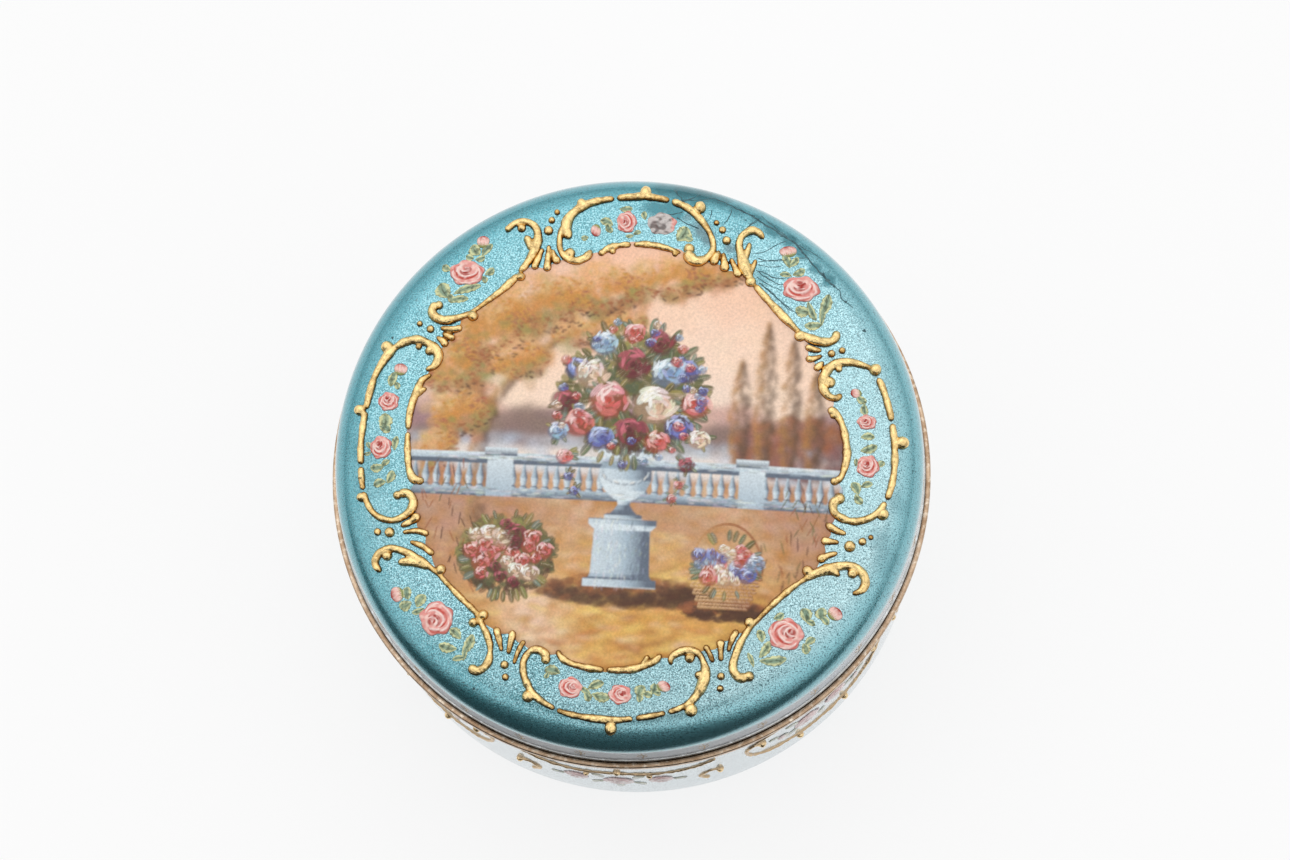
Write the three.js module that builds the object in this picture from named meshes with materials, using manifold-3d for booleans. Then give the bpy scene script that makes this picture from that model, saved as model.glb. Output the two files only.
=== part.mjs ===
// Round enamelled box with a lift-off lid: two turned copper cups, each with enamel outside and
// inside, gilt rims, a collar that the lid slides over, a painted medallion, and a raised gold
// rococo border. Millimetres, +Z up, origin at the middle of the flat underside, front at -Y.

import * as THREE from 'three';
import { mergeVertices } from 'three/addons/utils/BufferGeometryUtils.js';
import Module from 'manifold-3d';

const wasm = await Module();
wasm.setup();

// Layers of the wall
const ENAMEL = 0.6; // coloured enamel on the outside
const COPPER = 0.6; // turned metal cup
const LINING = 0.5; // counter enamel on the inside
const SEAT = 0.05; // clearance between pieces that touch

// Base
const BASE_RADIUS = 35.85;
const BASE_HEIGHT = 28.85; // floor to the upper edge of the wall
const FOOT_FILLET = 4.5;

// Gilt rims and collar
const RIM_STEP = 1.65; // how far the base's rim stands out from the base's wall
const RIM_THICKNESS = 1.1;
const RIM_ROUND = 0.3;
const COLLAR_WALL = 0.6;
const COLLAR_RISE = 4.5; // above the base's rim
const COLLAR_DROP = 3.5; // below it, inside the base
const COLLAR_CHAMFER = 0.2;
const LID_FIT = 0.25; // between the collar and the lid's rim
const LID_RIM_LIP = 0.25; // how far the lid's rim stands out from the lid's wall
const LID_RIM_THICKNESS = 0.55;
const LID_LINE = 0.3; // dark line between the two rims

// Lid
const LID_STEP = 0.72; // how far the lid's wall stands out from the base's wall
const LID_WALL = 4; // upright part of the lid's wall
const SHOULDER = 4.2; // radius of the rounded shoulder
const DOME_RADIUS = 400; // radius of the gently domed top

// Painted medallion
const MEDALLION_THICKNESS = 0.25;

// Raised gold
const BORDER_MARGIN = 2.8; // outermost gold line to the lid's wall
const FIELD_GAP = 0.27; // medallion to the innermost gold
const GOLD_HEIGHT = 0.6; // height of a stroke as a share of its width
const BEAD_HEIGHT = 0.55; // height of a bead as a share of its diameter
const WALL_PANELS = 4; // gold cartouches round the base
const WALL_PANEL_HEIGHT = 15; // middle of those cartouches above the floor

// Facets
const ROUND_STEPS = 40; // round every turned piece
const ARC_STEPS = 3; // along a fillet
const DOME_STEPS = 2; // from the middle of the lid to its shoulder
const BEAD_SIDES = 7;

// Heights and radii that follow from the sizes above
const WALL = ENAMEL + COPPER + LINING;
const rimRadius = BASE_RADIUS + RIM_STEP;
const lidRadius = BASE_RADIUS + LID_STEP;
const rimBottom = BASE_HEIGHT + SEAT;
const rimTop = rimBottom + RIM_THICKNESS;
const lidRimBottom = rimTop + LID_LINE;
const lidRimTop = lidRimBottom + LID_RIM_THICKNESS;
const lidBottom = lidRimTop + SEAT;
const collarRadius = BASE_RADIUS - WALL - SEAT;
const shoulderRing = lidRadius - SHOULDER;
const shoulderHeight = lidBottom + LID_WALL;
const domeTilt = Math.asin(shoulderRing / (DOME_RADIUS - SHOULDER));
const domeCentre = shoulderHeight - (DOME_RADIUS - SHOULDER) * Math.cos(domeTilt);

const FINISH = {
  turquoise: { color: 0x58aeb8, roughness: 0.2, metalness: 0.1 },
  lining: { color: 0xdfe9e6, roughness: 0.25, metalness: 0 },
  copper: { color: 0xb0714a, roughness: 0.4, metalness: 1 },
  gilt: { color: 0xb08a50, roughness: 0.35, metalness: 1 },
  painting: { color: 0xd9a878, roughness: 0.25, metalness: 0 },
  gold: { color: 0xd9a24a, roughness: 0.3, metalness: 1 },
};

const box = new THREE.Group();

// Turns a closed geometry into a solid, without the empty triangles on the axis
function solidFrom(geometry) {
  const bare = geometry.clone();
  bare.deleteAttribute('normal');
  bare.deleteAttribute('uv');
  const merged = mergeVertices(bare);
  const corners = merged.index.array;
  const kept = [];
  for (let i = 0; i < corners.length; i += 3) {
    const [a, b, c] = corners.slice(i, i + 3);
    if (a !== b && b !== c && c !== a) kept.push(a, b, c);
  }
  return new wasm.Manifold(new wasm.Mesh({
    numProp: 3,
    vertProperties: merged.attributes.position.array,
    triVerts: Uint32Array.from(kept),
  }));
}

function addPiece(name, solid, finish, place = (x, y, z) => [x, y, z]) {
  const { vertProperties, triVerts } = solid.getMesh();
  const geometry = new THREE.BufferGeometry();
  const points = [];
  for (let i = 0; i < vertProperties.length; i += 3) {
    points.push(...place(vertProperties[i], vertProperties[i + 1], vertProperties[i + 2]));
  }
  geometry.setAttribute('position', new THREE.Float32BufferAttribute(points, 3));
  geometry.setIndex([...triVerts]);
  geometry.computeVertexNormals();
  const mesh = new THREE.Mesh(geometry, new THREE.MeshStandardMaterial(FINISH[finish]));
  mesh.name = name;
  box.add(mesh);
}

// A turned piece: profile points are [radius, height], anticlockwise seen with the axis at the left
function turned(profile) {
  const points = profile.map(([radius, height]) => new THREE.Vector2(radius, height));
  return solidFrom(new THREE.LatheGeometry(points, ROUND_STEPS).rotateX(Math.PI / 2));
}

function arc(radius, height, size, from, to, steps = ARC_STEPS) {
  return Array.from({ length: steps + 1 }, (_, i) => {
    const angle = from + ((to - from) * i) / steps;
    return [radius + size * Math.cos(angle), height + size * Math.sin(angle)];
  });
}

// The base's surface at a depth under the outer one, from the middle of the floor to the wall's top
function baseSkin(depth) {
  const centre = BASE_RADIUS - FOOT_FILLET;
  const size = Math.max(FOOT_FILLET - depth, SEAT);
  return [
    [0, FOOT_FILLET - size],
    ...arc(centre, FOOT_FILLET, size, -Math.PI / 2, 0),
    [centre + size, BASE_HEIGHT],
  ];
}

// The lid's surface at a depth under the outer one, from the lower edge to the middle of the top
function lidSkin(depth) {
  const size = Math.max(SHOULDER - depth, SEAT);
  const dome = DOME_RADIUS - SHOULDER + size;
  return [
    [shoulderRing + size, lidBottom],
    ...arc(shoulderRing, shoulderHeight, size, 0, Math.PI / 2 - domeTilt),
    ...arc(0, domeCentre, dome, Math.PI / 2 - domeTilt, Math.PI / 2, DOME_STEPS).slice(1, -1),
    [0, domeCentre + dome],
  ];
}

function lidTop(x, y) {
  const radius = Math.hypot(x, y);
  if (radius <= DOME_RADIUS * Math.sin(domeTilt)) {
    return domeCentre + Math.sqrt(DOME_RADIUS ** 2 - radius ** 2);
  }
  return shoulderHeight + Math.sqrt(Math.max(SHOULDER ** 2 - (radius - shoulderRing) ** 2, 0));
}

// Base: enamel, copper cup and lining share their surfaces
const baseLayers = [
  ['base_enamel', 0, ENAMEL, 'turquoise'],
  ['base_copper_shell', ENAMEL, ENAMEL + COPPER, 'copper'],
  ['base_lining', ENAMEL + COPPER, WALL, 'lining'],
];
for (const [name, outer, inner, finish] of baseLayers) {
  addPiece(name, turned([...baseSkin(outer), ...baseSkin(inner).reverse()]), finish);
}

// Lid: the same three layers
const lidLayers = [
  ['lid_enamel', 0, ENAMEL, 'turquoise'],
  ['lid_copper_shell', ENAMEL, ENAMEL + COPPER, 'copper'],
  ['lid_lining', ENAMEL + COPPER, WALL, 'lining'],
];
for (const [name, outer, inner, finish] of lidLayers) {
  addPiece(name, turned([...lidSkin(inner).reverse(), ...lidSkin(outer)]), finish);
}

// Rims and collar
function rim(inner, outer, bottom, top, round) {
  return turned([
    [inner, bottom],
    [outer - round, bottom],
    [outer, bottom + round],
    [outer, top - round],
    [outer - round, top],
    [inner, top],
    [inner, bottom],
  ]);
}

const collarInner = collarRadius - COLLAR_WALL;
const collarTop = rimTop + COLLAR_RISE;
addPiece('base_rim', rim(collarRadius + SEAT, rimRadius, rimBottom, rimTop, RIM_ROUND), 'gilt');
addPiece('lid_rim', rim(
  collarRadius + LID_FIT, lidRadius + LID_RIM_LIP, lidRimBottom, lidRimTop, LID_RIM_THICKNESS / 4,
), 'gilt');
addPiece('fitting_collar', turned([
  [collarInner, rimBottom - COLLAR_DROP],
  [collarRadius, rimBottom - COLLAR_DROP],
  [collarRadius, collarTop - COLLAR_CHAMFER],
  [collarRadius - COLLAR_CHAMFER, collarTop],
  [collarInner, collarTop],
  [collarInner, rimBottom - COLLAR_DROP],
]), 'gilt');

// A stroke of raised gold lies flat with a narrower back. Its points are [x, y, width].
const STROKE_SECTION = [[-0.5, 0], [-0.24, 1], [0.24, 1], [0.5, 0]];

function stroke(points) {
  const places = points.map(([x, y, width]) => new THREE.Vector3(x, y, width));
  const curve = new THREE.CatmullRomCurve3(places, false, 'centripetal');
  const steps = points.length - 1;
  const sides = STROKE_SECTION.length;
  const vertices = [];
  const faces = [];
  for (let i = 0; i <= steps; i += 1) {
    const { x, y, z: width } = curve.getPoint(i / steps);
    const along = curve.getTangent(i / steps).setZ(0).normalize();
    for (const [across, up] of STROKE_SECTION) {
      vertices.push(x - along.y * across * width, y + along.x * across * width);
      vertices.push(up * width * GOLD_HEIGHT);
    }
  }
  for (let i = 0; i < steps; i += 1) {
    for (let j = 0; j < sides; j += 1) {
      const a = i * sides + j;
      const b = i * sides + ((j + 1) % sides);
      faces.push(a, a + sides, b, b, a + sides, b + sides);
    }
  }
  const last = steps * sides;
  for (let j = 1; j < sides - 1; j += 1) {
    faces.push(0, j, j + 1, last, last + j + 1, last + j);
  }
  return meshSolid(vertices, faces);
}

// A bead is a low dome. Its values are [x, y, diameter].
const BEAD_PROFILE = [[0.5, 0], [0.42, 0.6], [0, 1]];

function bead([x, y, diameter]) {
  const vertices = [x, y, 0, x, y, diameter * BEAD_HEIGHT];
  const faces = [];
  for (let i = 0; i < BEAD_SIDES; i += 1) {
    const angle = (2 * Math.PI * i) / BEAD_SIDES;
    for (const [out, up] of BEAD_PROFILE.slice(0, 2)) {
      vertices.push(x + out * diameter * Math.cos(angle), y + out * diameter * Math.sin(angle));
      vertices.push(up * diameter * BEAD_HEIGHT);
    }
    const foot = 2 + 2 * i;
    const next = 2 + 2 * ((i + 1) % BEAD_SIDES);
    faces.push(0, next, foot, 1, foot + 1, next + 1);
    faces.push(foot, next, foot + 1, next, next + 1, foot + 1);
  }
  return meshSolid(vertices, faces);
}

function meshSolid(vertices, faces) {
  return new wasm.Manifold(new wasm.Mesh({
    numProp: 3,
    vertProperties: Float32Array.from(vertices),
    triVerts: Uint32Array.from(faces),
  }));
}

function goldwork({ strokes = [], beads = [] }) {
  const solids = [...strokes.map(stroke), ...beads.map(bead)];
  return solids.reduce((whole, next) => whole.add(next));
}

// Four cartouches stand at the back, right, front and left of the lid. A narrow width in a
// stroke is a joint between two runs of the gold line.
const frames = {
  back: {
    strokes: [
      [
        [-9.0, 27.3, 0.9], [-9.5, 28.6, 1.2], [-9.3, 30.0, 1.1], [-8.1, 31.4, 0.9], [-6.2, 32.4, 0.75],
        [-3.6, 33.0, 0.4], [0, 33.4, 0.75], [3.3, 33.05, 0.4], [5.4, 32.2, 0.8], [7.0, 30.9, 0.75],
        [8.2, 29.4, 0.65], [8.9, 27.8, 0.7], [8.9, 26.5, 0.8], [8.0, 25.4, 1.0], [6.9, 25.1, 1.2],
        [6.1, 25.7, 1.2], [6.0, 26.6, 1.2],
      ],
      [
        [-9.9, 29.0, 0.6], [-10.2, 27.6, 0.7], [-10.1, 26.0, 0.65], [-9.3, 24.8, 0.8],
        [-8.0, 24.4, 0.95], [-6.8, 24.9, 0.9], [-6.1, 25.9, 0.7],
      ],
    ],
    beads: [[0.1, 34.0, 1.6], [-7.8, 32.1, 1.3], [7.0, 32.3, 1.6], [-8.8, 25.4, 1.4], [6.0, 26.7, 1.4]],
  },
  right: {
    strokes: [[
      [26.0, 8.9, 0.5], [25.2, 8.4, 0.75], [24.3, 8.6, 0.95], [23.6, 9.6, 1.0], [23.6, 10.9, 1.0],
      [24.1, 12.1, 1.0], [25.2, 12.9, 0.9], [26.7, 13.15, 0.8], [28.2, 12.9, 0.7], [29.6, 12.4, 0.6],
      [30.2, 11.5, 0.4], [31.0, 9.9, 0.75], [31.7, 7.9, 0.7], [32.3, 5.8, 0.4], [32.7, 3.0, 0.75],
      [32.85, 0.5, 0.7], [32.65, -2.0, 0.7], [32.1, -4.2, 0.4], [31.2, -5.6, 0.7], [30.1, -6.5, 0.7],
      [28.4, -7.05, 0.75], [26.9, -6.8, 0.85], [25.8, -6.1, 0.95], [25.6, -5.0, 1.1], [26.2, -4.3, 1.3],
    ]],
    beads: [
      [29.9, 12.4, 1.6], [33.6, 3.3, 1.7], [31.7, -5.9, 1.6], [24.4, 10.4, 1.4], [25.4, 12.2, 1.0],
      [26.3, -4.3, 1.5],
    ],
  },
  front: {
    strokes: [[
      [-8.3, -26.3, 1.2], [-8.5, -25.6, 0.9], [-9.4, -25.15, 0.8], [-10.4, -25.5, 0.7],
      [-11.0, -26.7, 0.75], [-10.9, -28.2, 0.8], [-10.2, -29.7, 0.8], [-9.2, -30.9, 0.75],
      [-8.0, -31.7, 0.6], [-6.7, -32.3, 0.4], [-5.5, -32.7, 0.6], [-3.0, -33.1, 0.75],
      [0.2, -33.25, 0.75], [2.9, -32.95, 0.4], [5.0, -32.5, 0.65], [6.8, -32.0, 0.4],
      [8.3, -31.4, 0.65], [9.6, -30.5, 0.75], [10.5, -29.3, 0.95], [11.0, -28.0, 1.3],
      [11.2, -26.9, 1.1], [11.0, -25.9, 0.8], [10.5, -24.9, 0.6], [9.8, -24.4, 0.75],
      [8.7, -24.3, 0.85], [7.6, -24.7, 0.75], [6.9, -25.4, 0.7], [7.0, -26.2, 0.4],
    ]],
    beads: [
      [0.1, -34.2, 1.6], [-10.2, -30.9, 1.5], [9.7, -31.5, 1.7], [9.2, -25.2, 1.3], [10.4, -27.2, 1.1],
      [-8.3, -26.3, 1.3],
    ],
  },
  left: {
    strokes: [[
      [-25.7, 9.4, 0.5], [-24.7, 9.9, 0.8], [-24.2, 11.0, 0.95], [-24.6, 12.1, 1.05],
      [-25.8, 12.95, 0.9], [-27.3, 13.3, 1.0], [-28.7, 12.9, 0.85], [-29.7, 12.2, 0.6],
      [-30.4, 11.4, 0.9], [-31.0, 10.5, 0.75], [-31.9, 8.6, 0.65], [-32.4, 6.5, 0.7],
      [-32.8, 4.0, 0.4], [-33.0, 1.0, 0.65], [-33.0, -1.0, 0.65], [-32.8, -3.1, 0.4],
      [-32.6, -4.7, 0.65], [-32.3, -6.3, 0.4], [-31.4, -8.3, 0.65], [-30.3, -9.4, 0.7],
      [-28.6, -9.9, 0.7], [-27.1, -9.4, 0.85], [-26.1, -8.4, 0.9], [-26.0, -7.2, 0.95],
      [-26.8, -6.4, 0.95], [-27.9, -6.6, 0.95],
    ]],
    beads: [
      [-30.7, 12.2, 1.7], [-33.5, 4.0, 1.5], [-32.4, -7.1, 1.3], [-25.4, 11.9, 1.2],
      [-26.8, 12.4, 0.9], [-28.0, -6.7, 1.2],
    ],
  },
};

// One arc closes each cartouche towards the medallion
const arcs = {
  back: {
    strokes: [[
      [-5.2, 25.3, 0.8], [-4.4, 26.0, 0.7], [-3.4, 26.5, 0.75], [-2.2, 26.8, 0.65],
      [-1.1, 26.85, 0.4], [0.5, 27.0, 0.75], [2.4, 26.8, 0.7], [4.0, 26.4, 0.65], [5.0, 26.1, 0.4],
    ]],
    beads: [[-3.5, 25.9, 0.9], [4.3, 25.9, 0.8]],
  },
  right: {
    strokes: [[
      [24.3, 6.9, 0.9], [25.2, 6.5, 0.85], [26.1, 5.2, 0.75], [26.7, 3.2, 0.85], [26.95, 1.2, 0.9],
      [26.7, -0.6, 0.75], [26.3, -1.7, 0.65], [25.6, -2.2, 0.9],
    ]],
    beads: [[25.0, 6.1, 0.9], [25.6, -2.2, 1.1]],
  },
  front: {
    strokes: [
      [
        [-7.0, -25.1, 0.6], [-6.4, -26.0, 0.75], [-5.2, -26.65, 0.75], [-3.0, -27.1, 0.8],
        [-1.0, -27.25, 0.4], [2.0, -27.0, 0.8], [4.0, -26.35, 0.75], [5.2, -25.6, 0.75],
        [5.7, -24.9, 0.6],
      ],
      [[3.4, -26.4, 0.5], [4.0, -25.5, 0.6], [4.1, -25.1, 0.3]],
    ],
  },
  left: {
    strokes: [
      [
        [-24.9, 8.8, 0.4], [-26.0, 8.1, 0.65], [-26.7, 6.3, 0.75], [-27.2, 4.0, 0.75],
        [-27.3, 1.5, 0.45], [-27.15, -1.0, 0.75], [-26.8, -3.2, 0.8], [-26.2, -4.5, 0.9],
        [-25.3, -4.8, 0.9],
      ],
      [[-26.5, 6.0, 0.5], [-25.8, 6.8, 0.6], [-25.3, 7.0, 0.3]],
    ],
    beads: [[-25.3, -4.8, 1.1]],
  },
};

// Long scrolls cross the diagonals and turn outwards at both ends
const scrolls = {
  back_left: {
    strokes: [
      [
        [-15.0, 22.3, 0.6], [-16.4, 20.7, 0.85], [-18.0, 19.2, 0.7], [-20.4, 17.2, 0.5],
        [-22.3, 16.3, 0.85], [-24.0, 15.95, 0.9], [-25.3, 16.6, 0.9], [-25.4, 17.6, 0.9],
        [-24.7, 17.9, 1.0],
      ],
      [
        [-15.0, 22.6, 0.5], [-14.2, 23.6, 0.8], [-13.3, 25.5, 1.05], [-12.95, 27.2, 0.95],
        [-13.3, 28.6, 0.85], [-14.5, 29.35, 0.75], [-15.9, 29.1, 0.65], [-17.1, 28.0, 0.7],
      ],
      [[-13.5, 25.6, 0.9], [-14.0, 26.6, 0.8], [-14.5, 27.5, 0.7]],
    ],
    beads: [[-14.7, 22.0, 1.3], [-20.3, 16.6, 1.5], [-15.1, 28.5, 1.2], [-24.7, 17.9, 1.2]],
  },
  back_right: {
    strokes: [
      [
        [14.4, 22.4, 0.6], [16.3, 20.4, 0.85], [18.2, 18.5, 0.95], [19.9, 16.9, 0.6],
        [20.9, 16.2, 0.75], [22.5, 15.6, 1.05], [24.0, 15.6, 0.95], [24.8, 16.2, 0.9],
        [24.8, 17.1, 0.85],
      ],
      [
        [14.0, 22.9, 0.6], [13.2, 24.3, 1.2], [12.6, 26.0, 1.0], [12.2, 27.4, 0.8],
        [12.4, 28.7, 0.75], [13.5, 29.6, 0.85], [14.5, 29.4, 0.8], [15.2, 28.6, 0.4],
      ],
      [[12.9, 25.4, 0.8], [13.3, 26.9, 0.7], [13.5, 28.0, 0.5]],
      [[13.6, 23.6, 0.8], [14.1, 24.8, 0.6], [14.4, 25.8, 0.5]],
    ],
    beads: [[13.9, 22.8, 1.4], [20.4, 16.1, 1.5]],
  },
  front_right: {
    strokes: [
      [
        [28.5, -16.1, 0.4], [29.6, -15.5, 0.7], [30.0, -14.4, 0.9], [29.4, -13.2, 0.85],
        [28.1, -12.6, 0.75], [26.0, -12.95, 1.0], [24.0, -13.8, 1.0], [22.2, -14.95, 0.5],
        [20.5, -16.4, 0.7], [19.0, -17.9, 0.7], [17.3, -19.8, 0.5], [16.3, -21.0, 0.6],
        [15.4, -22.6, 0.75], [14.7, -24.6, 0.8], [14.5, -26.2, 0.85], [15.3, -27.2, 0.9],
        [16.4, -27.1, 1.2],
      ],
      [[24.9, -13.5, 0.9], [26.0, -13.5, 0.7], [26.9, -13.95, 0.5]],
    ],
    beads: [[28.4, -13.5, 1.3], [22.9, -13.6, 1.5], [16.2, -20.4, 1.4], [16.5, -27.0, 1.4]],
  },
  front_left: {
    strokes: [
      [
        [-29.3, -16.4, 0.5], [-30.1, -15.3, 0.75], [-29.6, -14.0, 0.75], [-28.2, -13.4, 0.75],
        [-26.2, -13.9, 0.8], [-24.2, -15.0, 0.85], [-22.4, -16.2, 0.5], [-20.5, -18.0, 0.6],
        [-19.0, -19.4, 0.65], [-17.2, -21.0, 0.6], [-16.4, -22.4, 0.6], [-15.6, -23.8, 0.85],
        [-15.15, -25.4, 0.6], [-15.4, -27.1, 0.85], [-16.5, -28.1, 0.95], [-17.7, -27.6, 0.9],
      ],
      [[-23.4, -15.6, 0.7], [-25.4, -15.0, 0.9], [-27.3, -15.1, 0.8]],
    ],
    beads: [[-28.7, -14.3, 1.3], [-21.9, -15.8, 1.4], [-16.3, -21.2, 1.4], [-17.5, -22.2, 1.3]],
  },
};

// Between a cartouche and a scroll, three petals fan out from a bead towards the medallion
const fans = {
  back_left: {
    strokes: [
      [[-11.9, 27.8, 0.3], [-12.2, 25.9, 0.4], [-12.8, 24.3, 0.75], [-13.2, 23.0, 0.95]],
      [[-11.6, 27.8, 0.3], [-11.5, 26.4, 0.4], [-11.5, 24.3, 0.7], [-11.5, 22.8, 1.0]],
      [[-11.4, 27.8, 0.3], [-11.1, 25.8, 0.4], [-10.6, 24.7, 0.7], [-10.1, 23.9, 0.85]],
    ],
    beads: [[-11.7, 28.3, 1.2]],
  },
  back_right: {
    strokes: [
      [[10.4, 27.7, 0.3], [9.8, 26.7, 0.45], [9.3, 25.6, 0.9], [9.0, 24.7, 1.0]],
      [[10.6, 27.7, 0.3], [10.3, 26.5, 0.4], [10.5, 25.0, 0.8], [10.6, 23.9, 1.3]],
      [[10.8, 27.7, 0.3], [11.2, 25.8, 0.4], [12.0, 24.3, 0.75], [12.5, 23.3, 0.85]],
    ],
    beads: [[10.6, 28.1, 1.2]],
  },
  right_back: {
    strokes: [
      [[24.2, 14.2, 0.3], [23.2, 14.4, 0.4], [22.0, 14.5, 0.65], [21.1, 14.85, 0.7]],
      [[24.2, 14.0, 0.3], [23.3, 13.75, 0.4], [22.1, 13.25, 0.75], [21.2, 13.2, 0.8]],
      [[24.3, 13.8, 0.3], [23.5, 13.0, 0.4], [22.9, 12.3, 0.8], [22.3, 11.9, 0.9]],
    ],
    beads: [[24.4, 14.1, 1.1]],
  },
  right_front: {
    strokes: [
      [[27.8, -9.7, 0.3], [27.4, -8.7, 0.45], [26.2, -8.35, 0.8], [25.3, -7.9, 0.75], [24.8, -7.5, 0.6]],
      [[27.5, -10.1, 0.3], [26.6, -9.8, 0.4], [25.2, -9.75, 0.75], [24.3, -9.7, 0.95]],
      [[27.6, -10.6, 0.3], [26.5, -11.1, 0.4], [25.1, -11.6, 0.75], [24.0, -12.3, 0.9]],
    ],
    beads: [[27.9, -10.2, 1.5]],
  },
  front_right: {
    strokes: [
      [[13.2, -26.9, 0.3], [13.8, -24.2, 0.4], [14.2, -22.6, 0.7], [14.8, -21.4, 0.7]],
      [[13.1, -26.9, 0.35], [13.0, -25.4, 0.55], [12.9, -24.0, 0.6], [12.8, -22.7, 1.1]],
      [[13.0, -26.9, 0.3], [12.1, -25.6, 0.4], [11.5, -24.4, 0.6], [10.9, -23.5, 0.6]],
    ],
    beads: [[13.1, -27.2, 1.1]],
  },
  front_left: {
    strokes: [
      [[-13.4, -26.9, 0.3], [-13.75, -25.6, 0.4], [-14.2, -24.0, 0.7], [-14.7, -22.6, 0.75]],
      [[-13.2, -26.9, 0.3], [-12.95, -25.9, 0.4], [-12.7, -24.3, 0.7], [-12.5, -22.9, 0.8]],
      [
        [-13.0, -27.2, 0.35], [-12.2, -27.1, 0.4], [-11.9, -26.0, 0.55], [-11.5, -24.9, 0.6],
        [-11.0, -24.1, 0.6],
      ],
    ],
    beads: [[-13.3, -27.2, 1.15]],
  },
  left_front: {
    strokes: [
      [[-28.3, -11.1, 0.3], [-27.3, -10.6, 0.45], [-26.0, -9.9, 0.8], [-25.0, -9.0, 0.9]],
      [[-28.2, -11.4, 0.3], [-27.0, -11.35, 0.4], [-25.2, -11.1, 0.7], [-23.7, -11.5, 0.75]],
      [[-28.3, -11.7, 0.3], [-26.0, -12.45, 0.4], [-24.4, -13.0, 0.65], [-22.9, -14.0, 0.8]],
    ],
    beads: [[-28.6, -11.4, 1.35]],
  },
  left_back: {
    strokes: [
      [[-25.2, 14.9, 0.3], [-24.3, 14.95, 0.4], [-22.7, 14.75, 0.75], [-21.5, 15.1, 0.8]],
      [[-25.2, 14.7, 0.3], [-24.0, 14.3, 0.4], [-23.0, 13.8, 0.7], [-22.3, 13.55, 0.9]],
      [[-25.4, 14.5, 0.3], [-24.7, 13.75, 0.4], [-23.8, 13.2, 0.7], [-23.3, 12.5, 0.95]],
    ],
    beads: [[-25.5, 14.75, 1.05]],
  },
};

// Smaller beads run outwards from each fan
const looseBeads = {
  back_left: [[-11.4, 29.7, 0.9], [-10.8, 30.8, 0.8]],
  back_right: [[10.0, 29.5, 1.0], [9.2, 30.4, 0.8]],
  right_back: [[25.7, 14.6, 0.9]],
  right_front: [[29.4, -9.5, 1.0], [30.4, -8.9, 0.7]],
  front_right: [[13.1, -28.7, 0.95]],
  front_left: [[-13.1, -28.7, 0.95]],
  left_front: [[-30.1, -11.4, 0.95]],
  left_back: [[-26.9, 15.4, 0.8]],
};

// The gold of the lid keeps its drawn proportions between the wall and the medallion
const lidGold = [frames, arcs, scrolls, fans].flatMap((set) => Object.values(set));
const lidGoldPoints = lidGold.flatMap((work) => work.strokes.flat());
const drawnReach = Math.max(...lidGoldPoints.map(([x, y]) => Math.hypot(x, y)));
const drawnField = Math.min(...lidGoldPoints.map(([x, y, width]) => Math.hypot(x, y) - width / 2));
const borderScale = (lidRadius - BORDER_MARGIN) / drawnReach;
const medallionRadius = drawnField * borderScale - FIELD_GAP;

function onLid(x, y, up) {
  const [u, v] = [x * borderScale, y * borderScale];
  return [u, v, lidTop(u, v) + SEAT + up];
}

for (const [kind, set] of Object.entries({ frame: frames, arc: arcs, scroll: scrolls, fan: fans })) {
  for (const [side, work] of Object.entries(set)) {
    addPiece(`gold_${kind}_${side}`, goldwork(work), 'gold', onLid);
  }
}
for (const [side, row] of Object.entries(looseBeads)) {
  row.forEach((one, i) => addPiece(`gold_bead_${side}_${i + 1}`, bead(one), 'gold', onLid));
}

// Painted medallion: a thin plaque that follows the dome
function plaqueSkin(lift) {
  const ball = DOME_RADIUS + lift;
  const tilt = Math.asin(medallionRadius / ball);
  const rings = arc(0, domeCentre, ball, Math.PI / 2 - tilt, Math.PI / 2, DOME_STEPS);
  return [...rings.slice(0, -1), [0, domeCentre + ball]];
}
addPiece('medallion', turned([
  ...plaqueSkin(SEAT).reverse(),
  ...plaqueSkin(SEAT + MEDALLION_THICKNESS),
]), 'painting');

// Gold cartouches round the base, drawn flat about their own middle
const wallPanel = {
  strokes: [
    [
      [-9.2, 2.6, 1.2], [-10.4, 3.4, 0.9], [-11.4, 1.8, 0.8], [-11.1, -1.2, 0.8], [-9.4, -3.6, 0.75],
      [-5.5, -5.0, 0.7], [0, -5.4, 0.8], [5.5, -5.0, 0.7], [9.4, -3.6, 0.75], [11.1, -1.2, 0.8],
      [11.4, 1.8, 0.8], [10.4, 3.4, 0.9], [9.2, 2.6, 1.2],
    ],
    [
      [-10.6, 3.2, 0.7], [-9.0, 4.9, 0.7], [-4.6, 6.6, 0.75], [0, 7.1, 0.9],
      [4.6, 6.6, 0.75], [9.0, 4.9, 0.7], [10.6, 3.2, 0.7],
    ],
  ],
  beads: [[-3.8, -6.1, 1.5], [3.8, -6.1, 1.5], [0, 7.9, 1.5], [-9.3, 2.6, 1.5], [9.3, 2.6, 1.5]],
};
for (let i = 0; i < WALL_PANELS; i += 1) {
  const middle = (2 * Math.PI * (i + 0.5)) / WALL_PANELS;
  addPiece(`gold_wall_frame_${i + 1}`, goldwork(wallPanel), 'gold', (along, height, up) => {
    const angle = middle + along / BASE_RADIUS;
    const radius = BASE_RADIUS + SEAT + up;
    return [radius * Math.cos(angle), radius * Math.sin(angle), WALL_PANEL_HEIGHT + height];
  });
}

export default box;
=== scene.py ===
"""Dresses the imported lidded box: a round enamelled box with a lift-off lid, a painted medallion and
raised gold rococo work. The scene is in metres, and the lists and profiles here are in millimetres."""

import math

import bpy
import numpy as np
from mathutils import Matrix, Vector
from mathutils.noise import noise as noise_3d


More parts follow.
